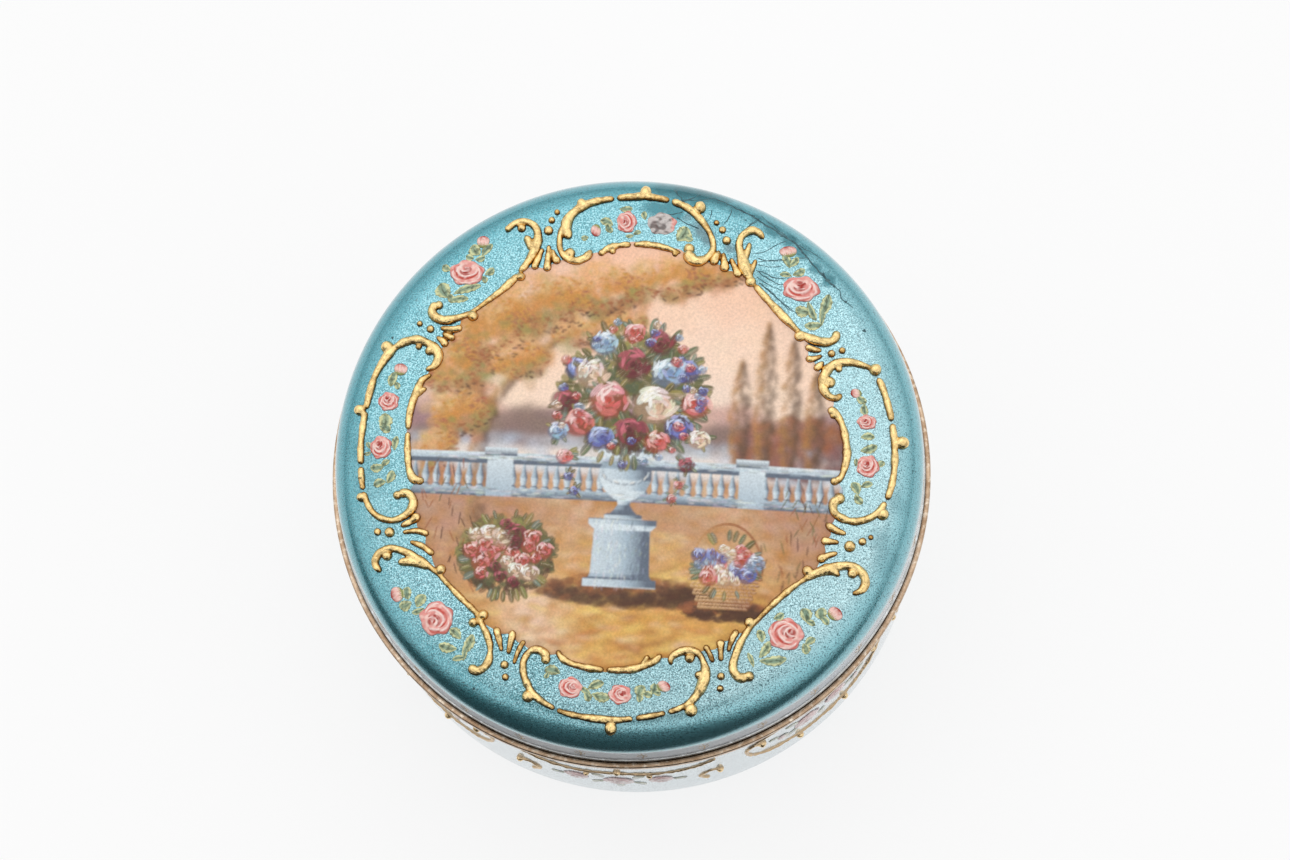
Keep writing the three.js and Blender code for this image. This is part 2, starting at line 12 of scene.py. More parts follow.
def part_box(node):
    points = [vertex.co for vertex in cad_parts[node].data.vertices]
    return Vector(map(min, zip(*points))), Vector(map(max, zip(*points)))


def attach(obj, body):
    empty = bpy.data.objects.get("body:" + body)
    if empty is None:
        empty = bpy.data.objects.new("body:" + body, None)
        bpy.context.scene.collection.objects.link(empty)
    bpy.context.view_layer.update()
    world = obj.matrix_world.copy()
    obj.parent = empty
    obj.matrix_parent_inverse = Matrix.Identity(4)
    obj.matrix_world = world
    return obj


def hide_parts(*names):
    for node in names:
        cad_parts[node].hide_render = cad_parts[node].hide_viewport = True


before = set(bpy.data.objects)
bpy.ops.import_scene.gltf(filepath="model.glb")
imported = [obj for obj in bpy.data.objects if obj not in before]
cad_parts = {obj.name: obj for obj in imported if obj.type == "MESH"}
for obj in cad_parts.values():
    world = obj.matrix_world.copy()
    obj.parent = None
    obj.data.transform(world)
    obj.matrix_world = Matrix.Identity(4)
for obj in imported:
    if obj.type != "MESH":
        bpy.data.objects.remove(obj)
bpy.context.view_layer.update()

MM = 0.001

# Photograph
IMAGE_WIDTH = 1290  # pixels
FOCAL_PIXELS = 4400
SENSOR = 36.0
CAMERA_DISTANCE = 551.0
CAMERA_TILT = math.radians(15.0)  # off the vertical
CAMERA_LEAN = math.radians(81.2)  # direction of that tilt in the picture
CAMERA_OFFSET = (-1.78, 5.38)  # rim's centre right of and below the picture's middle
DECOR_TURN = math.radians(3.7)

# Forms that the part's source rounds off with facets
SHOULDER = 4.2
LID_WALL = 4.0
DOME_RADIUS = 400.0
FOOT_FILLET = 4.5
ENAMEL = 0.6
COPPER = 0.6
LINING = 0.5


def ring_of(name):
    """Radius, bottom and top of a turned CAD node."""
    low, high = (np.array(corner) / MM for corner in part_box(name))
    return high[0], low[2], high[2]


BASE_RADIUS, _, BASE_TOP = ring_of("base_enamel")
LID_RADIUS, LID_BOTTOM, _ = ring_of("lid_enamel")
RIM_RADIUS, RIM_BOTTOM, RIM_TOP = ring_of("base_rim")
LID_RIM = ring_of("lid_rim")
COLLAR = ring_of("fitting_collar")

# Places on the lid's top
SHOULDER_RING = LID_RADIUS - SHOULDER
SHOULDER_HEIGHT = LID_BOTTOM + LID_WALL
DOME_TILT = math.asin(SHOULDER_RING / (DOME_RADIUS - SHOULDER))
DOME_CENTRE = SHOULDER_HEIGHT - (DOME_RADIUS - SHOULDER) * math.cos(DOME_TILT)
DOME_EDGE = DOME_RADIUS * math.sin(DOME_TILT)

# Raised gold of the lid: strokes of [x, y, width] and beads of [x, y, diameter], +Y to the back.
# Inside a stroke, a width of at most GAP_WIDTH is a break between two runs of the line.

LID_GOLD = {
    "frame_back": ([
        [[-9, 27.3, 0.9], [-9.5, 28.6, 1.2], [-9.3, 30, 1.1], [-8.1, 31.4, 0.9], [-6.2, 32.4, 0.75],
         [-3.6, 33, 0.4], [0, 33.4, 0.75], [3.3, 33.05, 0.4], [5.4, 32.2, 0.8], [7, 30.9, 0.75],
         [8.2, 29.4, 0.65], [8.9, 27.8, 0.7], [8.9, 26.5, 0.8], [8, 25.4, 1], [6.9, 25.1, 1.2],
         [6.1, 25.7, 1.2], [6, 26.6, 1.2]],
        [[-9.9, 29, 0.6], [-10.2, 27.6, 0.7], [-10.1, 26, 0.65], [-9.3, 24.8, 0.8], [-8, 24.4, 0.95],
         [-6.8, 24.9, 0.9], [-6.1, 25.9, 0.7]],
    ], [[0.1, 34, 1.6], [-7.8, 32.1, 1.3], [7, 32.3, 1.6], [-8.8, 25.4, 1.4], [6, 26.7, 1.4]]),
    "frame_right": ([
        [[26, 8.9, 0.5], [25.2, 8.4, 0.75], [24.3, 8.6, 0.95], [23.6, 9.6, 1], [23.6, 10.9, 1],
         [24.1, 12.1, 1], [25.2, 12.9, 0.9], [26.7, 13.15, 0.8], [28.2, 12.9, 0.7], [29.6, 12.4, 0.6],
         [30.2, 11.5, 0.4], [31, 9.9, 0.75], [31.7, 7.9, 0.7], [32.3, 5.8, 0.4], [32.7, 3, 0.75],
         [32.85, 0.5, 0.7], [32.65, -2, 0.7], [32.1, -4.2, 0.4], [31.2, -5.6, 0.7], [30.1, -6.5, 0.7],
         [28.4, -7.05, 0.75], [26.9, -6.8, 0.85], [25.8, -6.1, 0.95], [25.6, -5, 1.1], [26.2, -4.3, 1.3]],
    ], [[29.9, 12.4, 1.6], [33.6, 3.3, 1.7], [31.7, -5.9, 1.6], [24.4, 10.4, 1.4], [25.4, 12.2, 1],
        [26.3, -4.3, 1.5]]),
    "frame_front": ([
        [[-8.3, -26.3, 1.2], [-8.5, -25.6, 0.9], [-9.4, -25.15, 0.8], [-10.4, -25.5, 0.7],
         [-11, -26.7, 0.75], [-10.9, -28.2, 0.8], [-10.2, -29.7, 0.8], [-9.2, -30.9, 0.75],
         [-8, -31.7, 0.6], [-6.7, -32.3, 0.4], [-5.5, -32.7, 0.6], [-3, -33.1, 0.75], [0.2, -33.25, 0.75],
         [2.9, -32.95, 0.4], [5, -32.5, 0.65], [6.8, -32, 0.4], [8.3, -31.4, 0.65], [9.6, -30.5, 0.75],
         [10.5, -29.3, 0.95], [11, -28, 1.3], [11.2, -26.9, 1.1], [11, -25.9, 0.8], [10.5, -24.9, 0.6],
         [9.8, -24.4, 0.75], [8.7, -24.3, 0.85], [7.6, -24.7, 0.75], [6.9, -25.4, 0.7], [7, -26.2, 0.4]],
    ], [[0.1, -34.2, 1.6], [-10.2, -30.9, 1.5], [9.7, -31.5, 1.7], [9.2, -25.2, 1.3], [10.4, -27.2, 1.1],
        [-8.3, -26.3, 1.3]]),
    "frame_left": ([
        [[-25.7, 9.4, 0.5], [-24.7, 9.9, 0.8], [-24.2, 11, 0.95], [-24.6, 12.1, 1.05], [-25.8, 12.95, 0.9],
         [-27.3, 13.3, 1], [-28.7, 12.9, 0.85], [-29.7, 12.2, 0.6], [-30.4, 11.4, 0.9], [-31, 10.5, 0.75],
         [-31.9, 8.6, 0.65], [-32.4, 6.5, 0.7], [-32.8, 4, 0.4], [-33, 1, 0.65], [-33, -1, 0.65],
         [-32.8, -3.1, 0.4], [-32.6, -4.7, 0.65], [-32.3, -6.3, 0.4], [-31.4, -8.3, 0.65],
         [-30.3, -9.4, 0.7], [-28.6, -9.9, 0.7], [-27.1, -9.4, 0.85], [-26.1, -8.4, 0.9], [-26, -7.2, 0.95],
         [-26.8, -6.4, 0.95], [-27.9, -6.6, 0.95]],
    ], [[-30.7, 12.2, 1.7], [-33.5, 4, 1.5], [-32.4, -7.1, 1.3], [-25.4, 11.9, 1.2], [-26.8, 12.4, 0.9],
        [-28, -6.7, 1.2]]),
    "arc_back": ([
        [[-5.2, 25.3, 0.8], [-4.4, 26, 0.7], [-3.4, 26.5, 0.75], [-2.2, 26.8, 0.65], [-1.1, 26.85, 0.4],
         [0.5, 27, 0.75], [2.4, 26.8, 0.7], [4, 26.4, 0.65], [5, 26.1, 0.4]],
    ], [[-3.5, 25.9, 0.9], [4.3, 25.9, 0.8]]),
    "arc_right": ([
        [[24.3, 6.9, 0.9], [25.2, 6.5, 0.85], [26.1, 5.2, 0.75], [26.7, 3.2, 0.85], [26.95, 1.2, 0.9],
         [26.7, -0.6, 0.75], [26.3, -1.7, 0.65], [25.6, -2.2, 0.9]],
    ], [[25, 6.1, 0.9], [25.6, -2.2, 1.1]]),
    "arc_front": ([
        [[-7, -25.1, 0.6], [-6.4, -26, 0.75], [-5.2, -26.65, 0.75], [-3, -27.1, 0.8], [-1, -27.25, 0.4],
         [2, -27, 0.8], [4, -26.35, 0.75], [5.2, -25.6, 0.75], [5.7, -24.9, 0.6]],
        [[3.4, -26.4, 0.5], [4, -25.5, 0.6], [4.1, -25.1, 0.3]],
    ], []),
    "arc_left": ([
        [[-24.9, 8.8, 0.4], [-26, 8.1, 0.65], [-26.7, 6.3, 0.75], [-27.2, 4, 0.75], [-27.3, 1.5, 0.45],
         [-27.15, -1, 0.75], [-26.8, -3.2, 0.8], [-26.2, -4.5, 0.9], [-25.3, -4.8, 0.9]],
        [[-26.5, 6, 0.5], [-25.8, 6.8, 0.6], [-25.3, 7, 0.3]],
    ], [[-25.3, -4.8, 1.1]]),
    "scroll_back_left": ([
        [[-15, 22.3, 0.6], [-16.4, 20.7, 0.85], [-18, 19.2, 0.7], [-20.4, 17.2, 0.5], [-22.3, 16.3, 0.85],
         [-24, 15.95, 0.9], [-25.3, 16.6, 0.9], [-25.4, 17.6, 0.9], [-24.7, 17.9, 1]],
        [[-15, 22.6, 0.5], [-14.2, 23.6, 0.8], [-13.3, 25.5, 1.05], [-12.95, 27.2, 0.95],
         [-13.3, 28.6, 0.85], [-14.5, 29.35, 0.75], [-15.9, 29.1, 0.65], [-17.1, 28, 0.7]],
        [[-13.5, 25.6, 0.9], [-14, 26.6, 0.8], [-14.5, 27.5, 0.7]],
    ], [[-14.7, 22, 1.3], [-20.3, 16.6, 1.5], [-15.1, 28.5, 1.2], [-24.7, 17.9, 1.2]]),
    "scroll_back_right": ([
        [[14.4, 22.4, 0.6], [16.3, 20.4, 0.85], [18.2, 18.5, 0.95], [19.9, 16.9, 0.6], [20.9, 16.2, 0.75],
         [22.5, 15.6, 1.05], [24, 15.6, 0.95], [24.8, 16.2, 0.9], [24.8, 17.1, 0.85]],
        [[14, 22.9, 0.6], [13.2, 24.3, 1.2], [12.6, 26, 1], [12.2, 27.4, 0.8], [12.4, 28.7, 0.75],
         [13.5, 29.6, 0.85], [14.5, 29.4, 0.8], [15.2, 28.6, 0.4]],
        [[12.9, 25.4, 0.8], [13.3, 26.9, 0.7], [13.5, 28, 0.5]],
        [[13.6, 23.6, 0.8], [14.1, 24.8, 0.6], [14.4, 25.8, 0.5]],
    ], [[13.9, 22.8, 1.4], [20.4, 16.1, 1.5]]),
    "scroll_front_right": ([
        [[28.5, -16.1, 0.4], [29.6, -15.5, 0.7], [30, -14.4, 0.9], [29.4, -13.2, 0.85], [28.1, -12.6, 0.75],
         [26, -12.95, 1], [24, -13.8, 1], [22.2, -14.95, 0.5], [20.5, -16.4, 0.7], [19, -17.9, 0.7],
         [17.3, -19.8, 0.5], [16.3, -21, 0.6], [15.4, -22.6, 0.75], [14.7, -24.6, 0.8], [14.5, -26.2, 0.85],
         [15.3, -27.2, 0.9], [16.4, -27.1, 1.2]],
        [[24.9, -13.5, 0.9], [26, -13.5, 0.7], [26.9, -13.95, 0.5]],
    ], [[28.4, -13.5, 1.3], [22.9, -13.6, 1.5], [16.2, -20.4, 1.4], [16.5, -27, 1.4]]),
    "scroll_front_left": ([
        [[-29.3, -16.4, 0.5], [-30.1, -15.3, 0.75], [-29.6, -14, 0.75], [-28.2, -13.4, 0.75],
         [-26.2, -13.9, 0.8], [-24.2, -15, 0.85], [-22.4, -16.2, 0.5], [-20.5, -18, 0.6],
         [-19, -19.4, 0.65], [-17.2, -21, 0.6], [-16.4, -22.4, 0.6], [-15.6, -23.8, 0.85],
         [-15.15, -25.4, 0.6], [-15.4, -27.1, 0.85], [-16.5, -28.1, 0.95], [-17.7, -27.6, 0.9]],
        [[-23.4, -15.6, 0.7], [-25.4, -15, 0.9], [-27.3, -15.1, 0.8]],
    ], [[-28.7, -14.3, 1.3], [-21.9, -15.8, 1.4], [-16.3, -21.2, 1.4], [-17.5, -22.2, 1.3]]),
    "fan_back_left": ([
        [[-11.9, 27.8, 0.3], [-12.2, 25.9, 0.4], [-12.8, 24.3, 0.75], [-13.2, 23, 0.95]],
        [[-11.6, 27.8, 0.3], [-11.5, 26.4, 0.4], [-11.5, 24.3, 0.7], [-11.5, 22.8, 1]],
        [[-11.4, 27.8, 0.3], [-11.1, 25.8, 0.4], [-10.6, 24.7, 0.7], [-10.1, 23.9, 0.85]],
    ], [[-11.7, 28.3, 1.2]]),
    "fan_back_right": ([
        [[10.4, 27.7, 0.3], [9.8, 26.7, 0.45], [9.3, 25.6, 0.9], [9, 24.7, 1]],
        [[10.6, 27.7, 0.3], [10.3, 26.5, 0.4], [10.5, 25, 0.8], [10.6, 23.9, 1.3]],
        [[10.8, 27.7, 0.3], [11.2, 25.8, 0.4], [12, 24.3, 0.75], [12.5, 23.3, 0.85]],
    ], [[10.6, 28.1, 1.2]]),
    "fan_right_back": ([
        [[24.2, 14.2, 0.3], [23.2, 14.4, 0.4], [22, 14.5, 0.65], [21.1, 14.85, 0.7]],
        [[24.2, 14, 0.3], [23.3, 13.75, 0.4], [22.1, 13.25, 0.75], [21.2, 13.2, 0.8]],
        [[24.3, 13.8, 0.3], [23.5, 13, 0.4], [22.9, 12.3, 0.8], [22.3, 11.9, 0.9]],
    ], [[24.4, 14.1, 1.1]]),
    "fan_right_front": ([
        [[27.8, -9.7, 0.3], [27.4, -8.7, 0.45], [26.2, -8.35, 0.8], [25.3, -7.9, 0.75], [24.8, -7.5, 0.6]],
        [[27.5, -10.1, 0.3], [26.6, -9.8, 0.4], [25.2, -9.75, 0.75], [24.3, -9.7, 0.95]],
        [[27.6, -10.6, 0.3], [26.5, -11.1, 0.4], [25.1, -11.6, 0.75], [24, -12.3, 0.9]],
    ], [[27.9, -10.2, 1.5]]),
    "fan_front_right": ([
        [[13.2, -26.9, 0.3], [13.8, -24.2, 0.4], [14.2, -22.6, 0.7], [14.8, -21.4, 0.7]],
        [[13.1, -26.9, 0.35], [13, -25.4, 0.55], [12.9, -24, 0.6], [12.8, -22.7, 1.1]],
        [[13, -26.9, 0.3], [12.1, -25.6, 0.4], [11.5, -24.4, 0.6], [10.9, -23.5, 0.6]],
    ], [[13.1, -27.2, 1.1]]),
    "fan_front_left": ([
        [[-13.4, -26.9, 0.3], [-13.75, -25.6, 0.4], [-14.2, -24, 0.7], [-14.7, -22.6, 0.75]],
        [[-13.2, -26.9, 0.3], [-12.95, -25.9, 0.4], [-12.7, -24.3, 0.7], [-12.5, -22.9, 0.8]],
        [[-13, -27.2, 0.35], [-12.2, -27.1, 0.4], [-11.9, -26, 0.55], [-11.5, -24.9, 0.6],
         [-11, -24.1, 0.6]],
    ], [[-13.3, -27.2, 1.15]]),
    "fan_left_front": ([
        [[-28.3, -11.1, 0.3], [-27.3, -10.6, 0.45], [-26, -9.9, 0.8], [-25, -9, 0.9]],
        [[-28.2, -11.4, 0.3], [-27, -11.35, 0.4], [-25.2, -11.1, 0.7], [-23.7, -11.5, 0.75]],
        [[-28.3, -11.7, 0.3], [-26, -12.45, 0.4], [-24.4, -13, 0.65], [-22.9, -14, 0.8]],
    ], [[-28.6, -11.4, 1.35]]),
    "fan_left_back": ([
        [[-25.2, 14.9, 0.3], [-24.3, 14.95, 0.4], [-22.7, 14.75, 0.75], [-21.5, 15.1, 0.8]],
        [[-25.2, 14.7, 0.3], [-24, 14.3, 0.4], [-23, 13.8, 0.7], [-22.3, 13.55, 0.9]],
        [[-25.4, 14.5, 0.3], [-24.7, 13.75, 0.4], [-23.8, 13.2, 0.7], [-23.3, 12.5, 0.95]],
    ], [[-25.5, 14.75, 1.05]]),
    "bead_back_left_1": ([], [[-11.4, 29.7, 0.9]]),
    "bead_back_left_2": ([], [[-10.8, 30.8, 0.8]]),
    "bead_back_right_1": ([], [[10, 29.5, 1]]),
    "bead_back_right_2": ([], [[9.2, 30.4, 0.8]]),
    "bead_right_back_1": ([], [[25.7, 14.6, 0.9]]),
    "bead_right_front_1": ([], [[29.4, -9.5, 1]]),
    "bead_right_front_2": ([], [[30.4, -8.9, 0.7]]),
    "bead_front_right_1": ([], [[13.1, -28.7, 0.95]]),
    "bead_front_left_1": ([], [[-13.1, -28.7, 0.95]]),
    "bead_left_front_1": ([], [[-30.1, -11.4, 0.95]]),
    "bead_left_back_1": ([], [[-26.9, 15.4, 0.8]]),
}



def mirrored(points, up=0):
    """The left half of a line or of a row of beads, lifted and followed by its right half."""
    left = [[x, y + up, size] for x, y, size in points]
    return left + [[-x, y, size] for x, y, size in reversed(left) if x]


# The wall's gold and flowers, measured round from the middle and up from the table
WALL_MIDDLE = 15.0
WALL_FRAME = (
    [
        mirrored([[-9.2, 2.6, 1.2], [-10.4, 3.4, 0.9], [-11.4, 1.8, 0.8], [-11.1, -1.2, 0.8],
                  [-9.4, -3.6, 0.75], [-5.5, -5, 0.7], [0, -5.4, 0.8]], WALL_MIDDLE),
        mirrored([[-10.6, 3.2, 0.7], [-9, 4.9, 0.7], [-4.6, 6.6, 0.75], [0, 7.1, 0.9]], WALL_MIDDLE),
    ],
    [*mirrored([[-3.8, -6.1, 1.5]], WALL_MIDDLE), *mirrored([[0, 7.9, 1.5]], WALL_MIDDLE),
     *mirrored([[-9.3, 2.6, 1.5]], WALL_MIDDLE)],
)

WALL_ROSES = {
    "roses": [[-2.6, 15.6, 4.0, 3.6, 120], [2.2, 16.2, 3.6, 3.2, 60]],
    "buds": [[5.6, 14.2, 1.8, 1.8, 320], [-6.4, 14.4, 1.9, 1.8, 200]],
    "leaves": [
        [-4.9, 17.3, 2.2, 1.1, 140], [-0.3, 18.2, 1.9, 1.0, 95], [4.4, 17.8, 2.1, 1.1, 40],
        [4.4, 14.6, 2.0, 1.0, 330], [0.0, 13.4, 2.2, 1.0, 265], [-4.9, 13.7, 2.1, 1.0, 215],
        [-7.6, 15.6, 1.4, 0.8, 160], [6.9, 15.4, 1.4, 0.8, 20],
    ],
}

WALL_SWAG = (
    [
        mirrored([[-12.6, 19.4, 0.7], [-9.5, 17.6, 0.8], [-5, 16.8, 0.75], [0, 17.3, 0.9]]),
        [[-11.5, 8.6, 0.9], [-10.4, 10.6, 0.8], [-11.6, 12.6, 0.7], [-13, 12.2, 0.9]],
        [[11.5, 8.6, 0.9], [10.4, 10.6, 0.8], [11.6, 12.6, 0.7], [13, 12.2, 0.9]],
    ],
    [[0, 18.4, 1.4], *mirrored([[-4, 15.8, 1.2]]), *mirrored([[-13, 12.2, 1.4]])],
)

SWAG_ROSES = {
    "roses": [[0, 12.4, 4.0, 3.6, 100], [-5.4, 12.9, 3.2, 3.0, 140], [5.4, 12.9, 3.2, 3.0, 50]],
    "leaves": [
        [-2.6, 14.6, 2.0, 1.0, 130], [2.6, 14.6, 2.0, 1.0, 50], [-2.6, 10.7, 2.0, 1.0, 230],
        [2.6, 10.7, 2.0, 1.0, 310], [-7.8, 12.2, 1.7, 0.9, 190], [7.8, 12.2, 1.7, 0.9, 350],
        [0, 9.5, 1.8, 0.9, 270],
    ],
}

# Flowers painted on the lid: roses, buds and worn roses are [x, y, width, height, direction of the
# heart or the tip in degrees], leaves are [x, y, length, width, direction of the tip]
SPRAYS = {
    "back": {
        "roses": [[-2, 29.9, 2.5, 2.9, 185]],
        "buds": [[-5.8, 28.5, 1.3, 1.9, 250]],
        "worn": [[2.4, 29.9, 3.6, 2.9, 0]],
        "leaves": [
            [-2.2, 31.7, 1.4, 0.7, 5], [-4.5, 29.7, 1.5, 0.9, 160], [-4.1, 29, 1.2, 0.7, -60],
            [-7.1, 27.6, 0.8, 0.6, 190], [5, 28.7, 1.9, 1.6, 60], [5.9, 28.2, 1, 0.7, -30],
            [0.2, 30.9, 1, 0.6, 100], [-0.6, 28.5, 0.9, 0.5, 20], [-1.5, 28.1, 0.9, 0.4, 190],
        ],
    },
    "right": {
        "roses": [[29.2, 5.6, 2.4, 1.9, 165], [29.6, 0, 2.8, 2.8, 130]],
        "buds": [[27.6, 9.2, 1.6, 1.2, 190]],
        "leaves": [
            [28.4, 8.5, 1.3, 0.8, -35], [28.9, 7.2, 1.3, 0.8, -80], [29.4, 3.7, 1.5, 0.8, 5],
            [29.6, 2.3, 1.9, 0.9, 20], [31.3, 0.4, 0.8, 0.7, 60], [28.2, -2.9, 1.5, 1, 120],
            [29.6, -2.4, 1.3, 0.7, 20], [28.7, -4.2, 1.3, 0.8, -50], [28.1, 0.4, 0.9, 0.5, 90],
        ],
    },
    "front": {
        "roses": [[-5.1, -29.6, 2.9, 2.6, 25], [1, -30.1, 2.8, 2.4, 20]],
        "buds": [[6.3, -28.8, 1.9, 1.4, 30]],
        "leaves": [
            [-7.4, -27.7, 1.7, 1, 170], [-8.1, -28.2, 0.8, 0.5, -120], [-2, -29.2, 1.8, 0.9, 25],
            [-3.2, -29.8, 1.2, 0.6, 150], [-3, -30.6, 1.1, 0.8, -60], [-1.3, -30.4, 2, 1, -10],
            [3.5, -29.6, 1.4, 1.1, 70], [3.3, -30.3, 1.1, 0.7, -80], [4.3, -30, 1.1, 0.7, -10],
            [5, -29.2, 1.2, 0.9, 80], [5.4, -29.7, 1, 0.6, -20],
        ],
    },
    "left": {
        "roses": [[-30, 5.2, 2.6, 2.4, 110], [-30.5, -0.7, 2.7, 2.9, 125]],
        "buds": [[-28.8, 9.5, 1.7, 1.8, 80]],
        "leaves": [
            [-29.6, 8.2, 1.9, 0.9, -110], [-29.2, 7.3, 1, 0.6, -60], [-30.4, 2.6, 1.9, 1.4, 85],
            [-30.2, 1.7, 1.3, 1.1, -20], [-28.7, -0.1, 1.6, 0.7, 85], [-30.8, -3.2, 1.5, 0.9, 190],
            [-29.8, -2.7, 1.1, 0.6, 40], [-30.3, -5.3, 1.4, 0.9, 200], [-29.1, -4.4, 1.5, 0.9, 70],
            [-32.1, -0.5, 0.8, 0.5, 120], [-32.1, -1.5, 0.8, 0.4, 200],
        ],
    },
    "back_left": {
        "roses": [[-21.5, 22.3, 4.3, 3.3, 95]],
        "buds": [[-19.8, 26.6, 1.6, 1.9, 90]],
        "leaves": [
            [-20.6, 25.4, 1.4, 1.3, 130], [-19.2, 25.4, 1.8, 0.8, 55], [-20, 24.3, 1.1, 0.7, 20],
            [-21.3, 24.4, 0.9, 0.8, 170], [-24.1, 22.9, 1.1, 0.8, 150], [-18.7, 22.6, 1.2, 0.8, 40],
            [-19.3, 21.5, 0.9, 0.6, -60], [-24.1, 19.9, 1.9, 1.6, 120], [-21.3, 20.1, 3.1, 0.9, 20],
            [-22.3, 18.7, 2.2, 0.8, 10], [-23.4, 18.9, 1.3, 0.7, -60],
        ],
    },
    "back_right": {
        "roses": [[20.2, 22.3, 4.6, 3.3, 105]],
        "buds": [[18.3, 27.2, 2.2, 1.7, 110]],
        "leaves": [
            [18.2, 25.8, 1.7, 0.8, 120], [19.1, 25.8, 1.5, 0.7, 50], [19.8, 24.5, 1.5, 0.8, 30],
            [18.2, 24, 1.3, 0.6, 175], [20.6, 19.5, 1.7, 1.2, 170], [21.7, 19.5, 2.3, 0.8, -65],
            [23.2, 20.3, 2.8, 1.1, 72], [23.1, 18.8, 1.9, 0.6, 85], [22, 17.7, 2, 0.9, 190],
        ],
    },
    "front_right": {
        "roses": [[20.7, -21.6, 4.3, 3.9, 20]],
        "buds": [[26.6, -18.6, 2, 1.8, 40]],
        "leaves": [
            [25, -18.8, 1.4, 1.2, 100], [25.3, -19.6, 1.2, 0.7, -40], [22.9, -19.1, 1.6, 1.2, 110],
            [23.6, -20, 1.1, 0.6, -20], [19.7, -19.4, 1.2, 0.8, 30], [23.7, -22.3, 1.3, 0.8, 40],
            [23.1, -23.2, 1.2, 0.9, -70], [17.6, -22, 1.4, 0.9, 110], [18.2, -23.6, 2.1, 0.9, 60],
            [19.3, -24.8, 2.9, 1, 8], [16.6, -25, 1.7, 0.5, 115],
        ],
    },
    "front_left": {
        "roses": [[-22, -21.9, 4.1, 4.2, 215]],
        "buds": [[-27.2, -19.1, 1.9, 1.9, 200]],
        "leaves": [
            [-25.8, -18.9, 1.4, 1, 100], [-26, -20.3, 1.4, 1.1, 200], [-24.1, -19.8, 1.6, 1.1, 60],
            [-24.4, -21, 1.4, 0.6, 205], [-19.6, -23.7, 1.6, 1, 140], [-20.4, -25.3, 2, 1, 170],
            [-18, -24.9, 2.4, 1, 65], [-18.9, -26.7, 1.5, 0.6, 190], [-18.2, -26.1, 1.5, 0.5, 80],
        ],
    },
}


# Meshes

def unit(value):
    """The value held between 0 and 1."""
    return np.clip(value, 0, 1)


def add_object(name, data):
    """A new object in the scene."""
    made = bpy.data.objects.new(name, data)
    bpy.context.scene.collection.objects.link(made)
    return made


def make_mesh(name, points, faces):
    """A smooth object whose points are given in millimetres."""
    data = bpy.data.meshes.new(name)
    data.from_pydata((np.asarray(points, float) * MM).tolist(), [], faces)
    data.validate()
    data.shade_smooth()
    return add_object(name, data)


def stacked(parts):
    """Parts of (points, faces) as one list of points and one of faces."""
    points, faces = [], []
    start = 0
    for part_points, part_faces in parts:
        points.append(part_points)
        faces.extend(tuple(start + k for k in face) for face in part_faces)
        start += len(part_points)
    return np.vstack(points), faces


def settle(piece, body, material, replaced=None):
    """Gives a piece its material and its body, and hides the CAD node that it stands for."""
    piece.data.materials.append(material)
    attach(piece, body)
    if replaced:
        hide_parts(replaced)


def paint_points(piece, name, colours):
    """Stores one linear colour for each point."""
    layer = piece.data.color_attributes.new(name, "FLOAT_COLOR", "POINT")
    full = np.ones((len(piece.data.vertices), 4), np.float32)
    full[:, :3] = colours
    layer.data.foreach_set("color", full.ravel())


def note_points(piece, name, values):
    """Stores one number for each point."""
    layer = piece.data.attributes.new(name, "FLOAT", "POINT")
    layer.data.foreach_set("value", np.asarray(values, np.float32))


def points_of(data):
    """The points of a mesh in its own unit."""
    flat = np.empty(len(data.vertices) * 3)
    data.vertices.foreach_get("co", flat)
    return flat.reshape(-1, 3)


TURNED_SIDES = 240
ON_AXIS = 1e-6  # a smaller radius is a point on the axis


def turned(name, profile):
    """A turned piece. Its profile of [radius, height] runs anticlockwise, with the axis at the left."""
    profile = np.array(profile, float)
    sides = TURNED_SIDES
    angle = np.arange(sides) * 2 * math.pi / sides
    on_axis = profile[:, 0] < ON_AXIS
    points, rings = [], []
    for (radius, height), single in zip(profile, on_axis):
        rings.append(len(points))
        if single:
            points.append((0, 0, height))
        else:
            ring = np.stack([radius * np.cos(angle), radius * np.sin(angle), np.full(sides, height)], 1)
            points.extend(ring)
    faces = []
    last = len(profile) - 1
    pairs = [(i, i + 1) for i in range(last)]
    if not (on_axis[0] and on_axis[last]):
        pairs.append((last, 0))
    for low, high in pairs:
        a, b = rings[low], rings[high]
        for k in range(sides):
            n = (k + 1) % sides
            if on_axis[low]:
                faces.append((a, b + n, b + k))
            elif on_axis[high]:
                faces.append((a + k, a + n, b))
            else:
                faces.append((a + k, a + n, b + n, b + k))
    return make_mesh(name, points, faces)


def arc(radius, height, size, start, end, steps):
    """Points of an arc in a turned profile."""
    angle = np.linspace(start, end, steps + 1)
    return [(radius + size * math.cos(a), height + size * math.sin(a)) for a in angle]


def rounded(profile, size, steps):
    """The profile with each of its corners rounded off."""
    profile = np.array(profile, float)
    out = []
    for before, corner, after in zip(np.roll(profile, 1, 0), profile, np.roll(profile, -1, 0)):
        a, b = before - corner, after - corner
        reach = min(size, np.linalg.norm(a) / 2.2, np.linalg.norm(b) / 2.2)
        a, b = a / np.linalg.norm(a) * reach, b / np.linalg.norm(b) * reach
        for t in np.linspace(0, 1, steps + 1):
            out.append(corner + a * (1 - t) ** 2 + b * t ** 2)
    return out


def base_skin(depth, steps=12):
    """The base's surface at a depth under the outer one, from the floor's middle to the wall's top."""
    centre = BASE_RADIUS - FOOT_FILLET
    size = FOOT_FILLET - depth
    floor = [(radius, depth) for radius in np.linspace(0, centre, 8)[:-1]]
    wall = [(centre + size, height) for height in np.linspace(FOOT_FILLET, BASE_TOP, 8)[1:]]
    return [*floor, *arc(centre, FOOT_FILLET, size, -math.pi / 2, 0, steps), *wall]


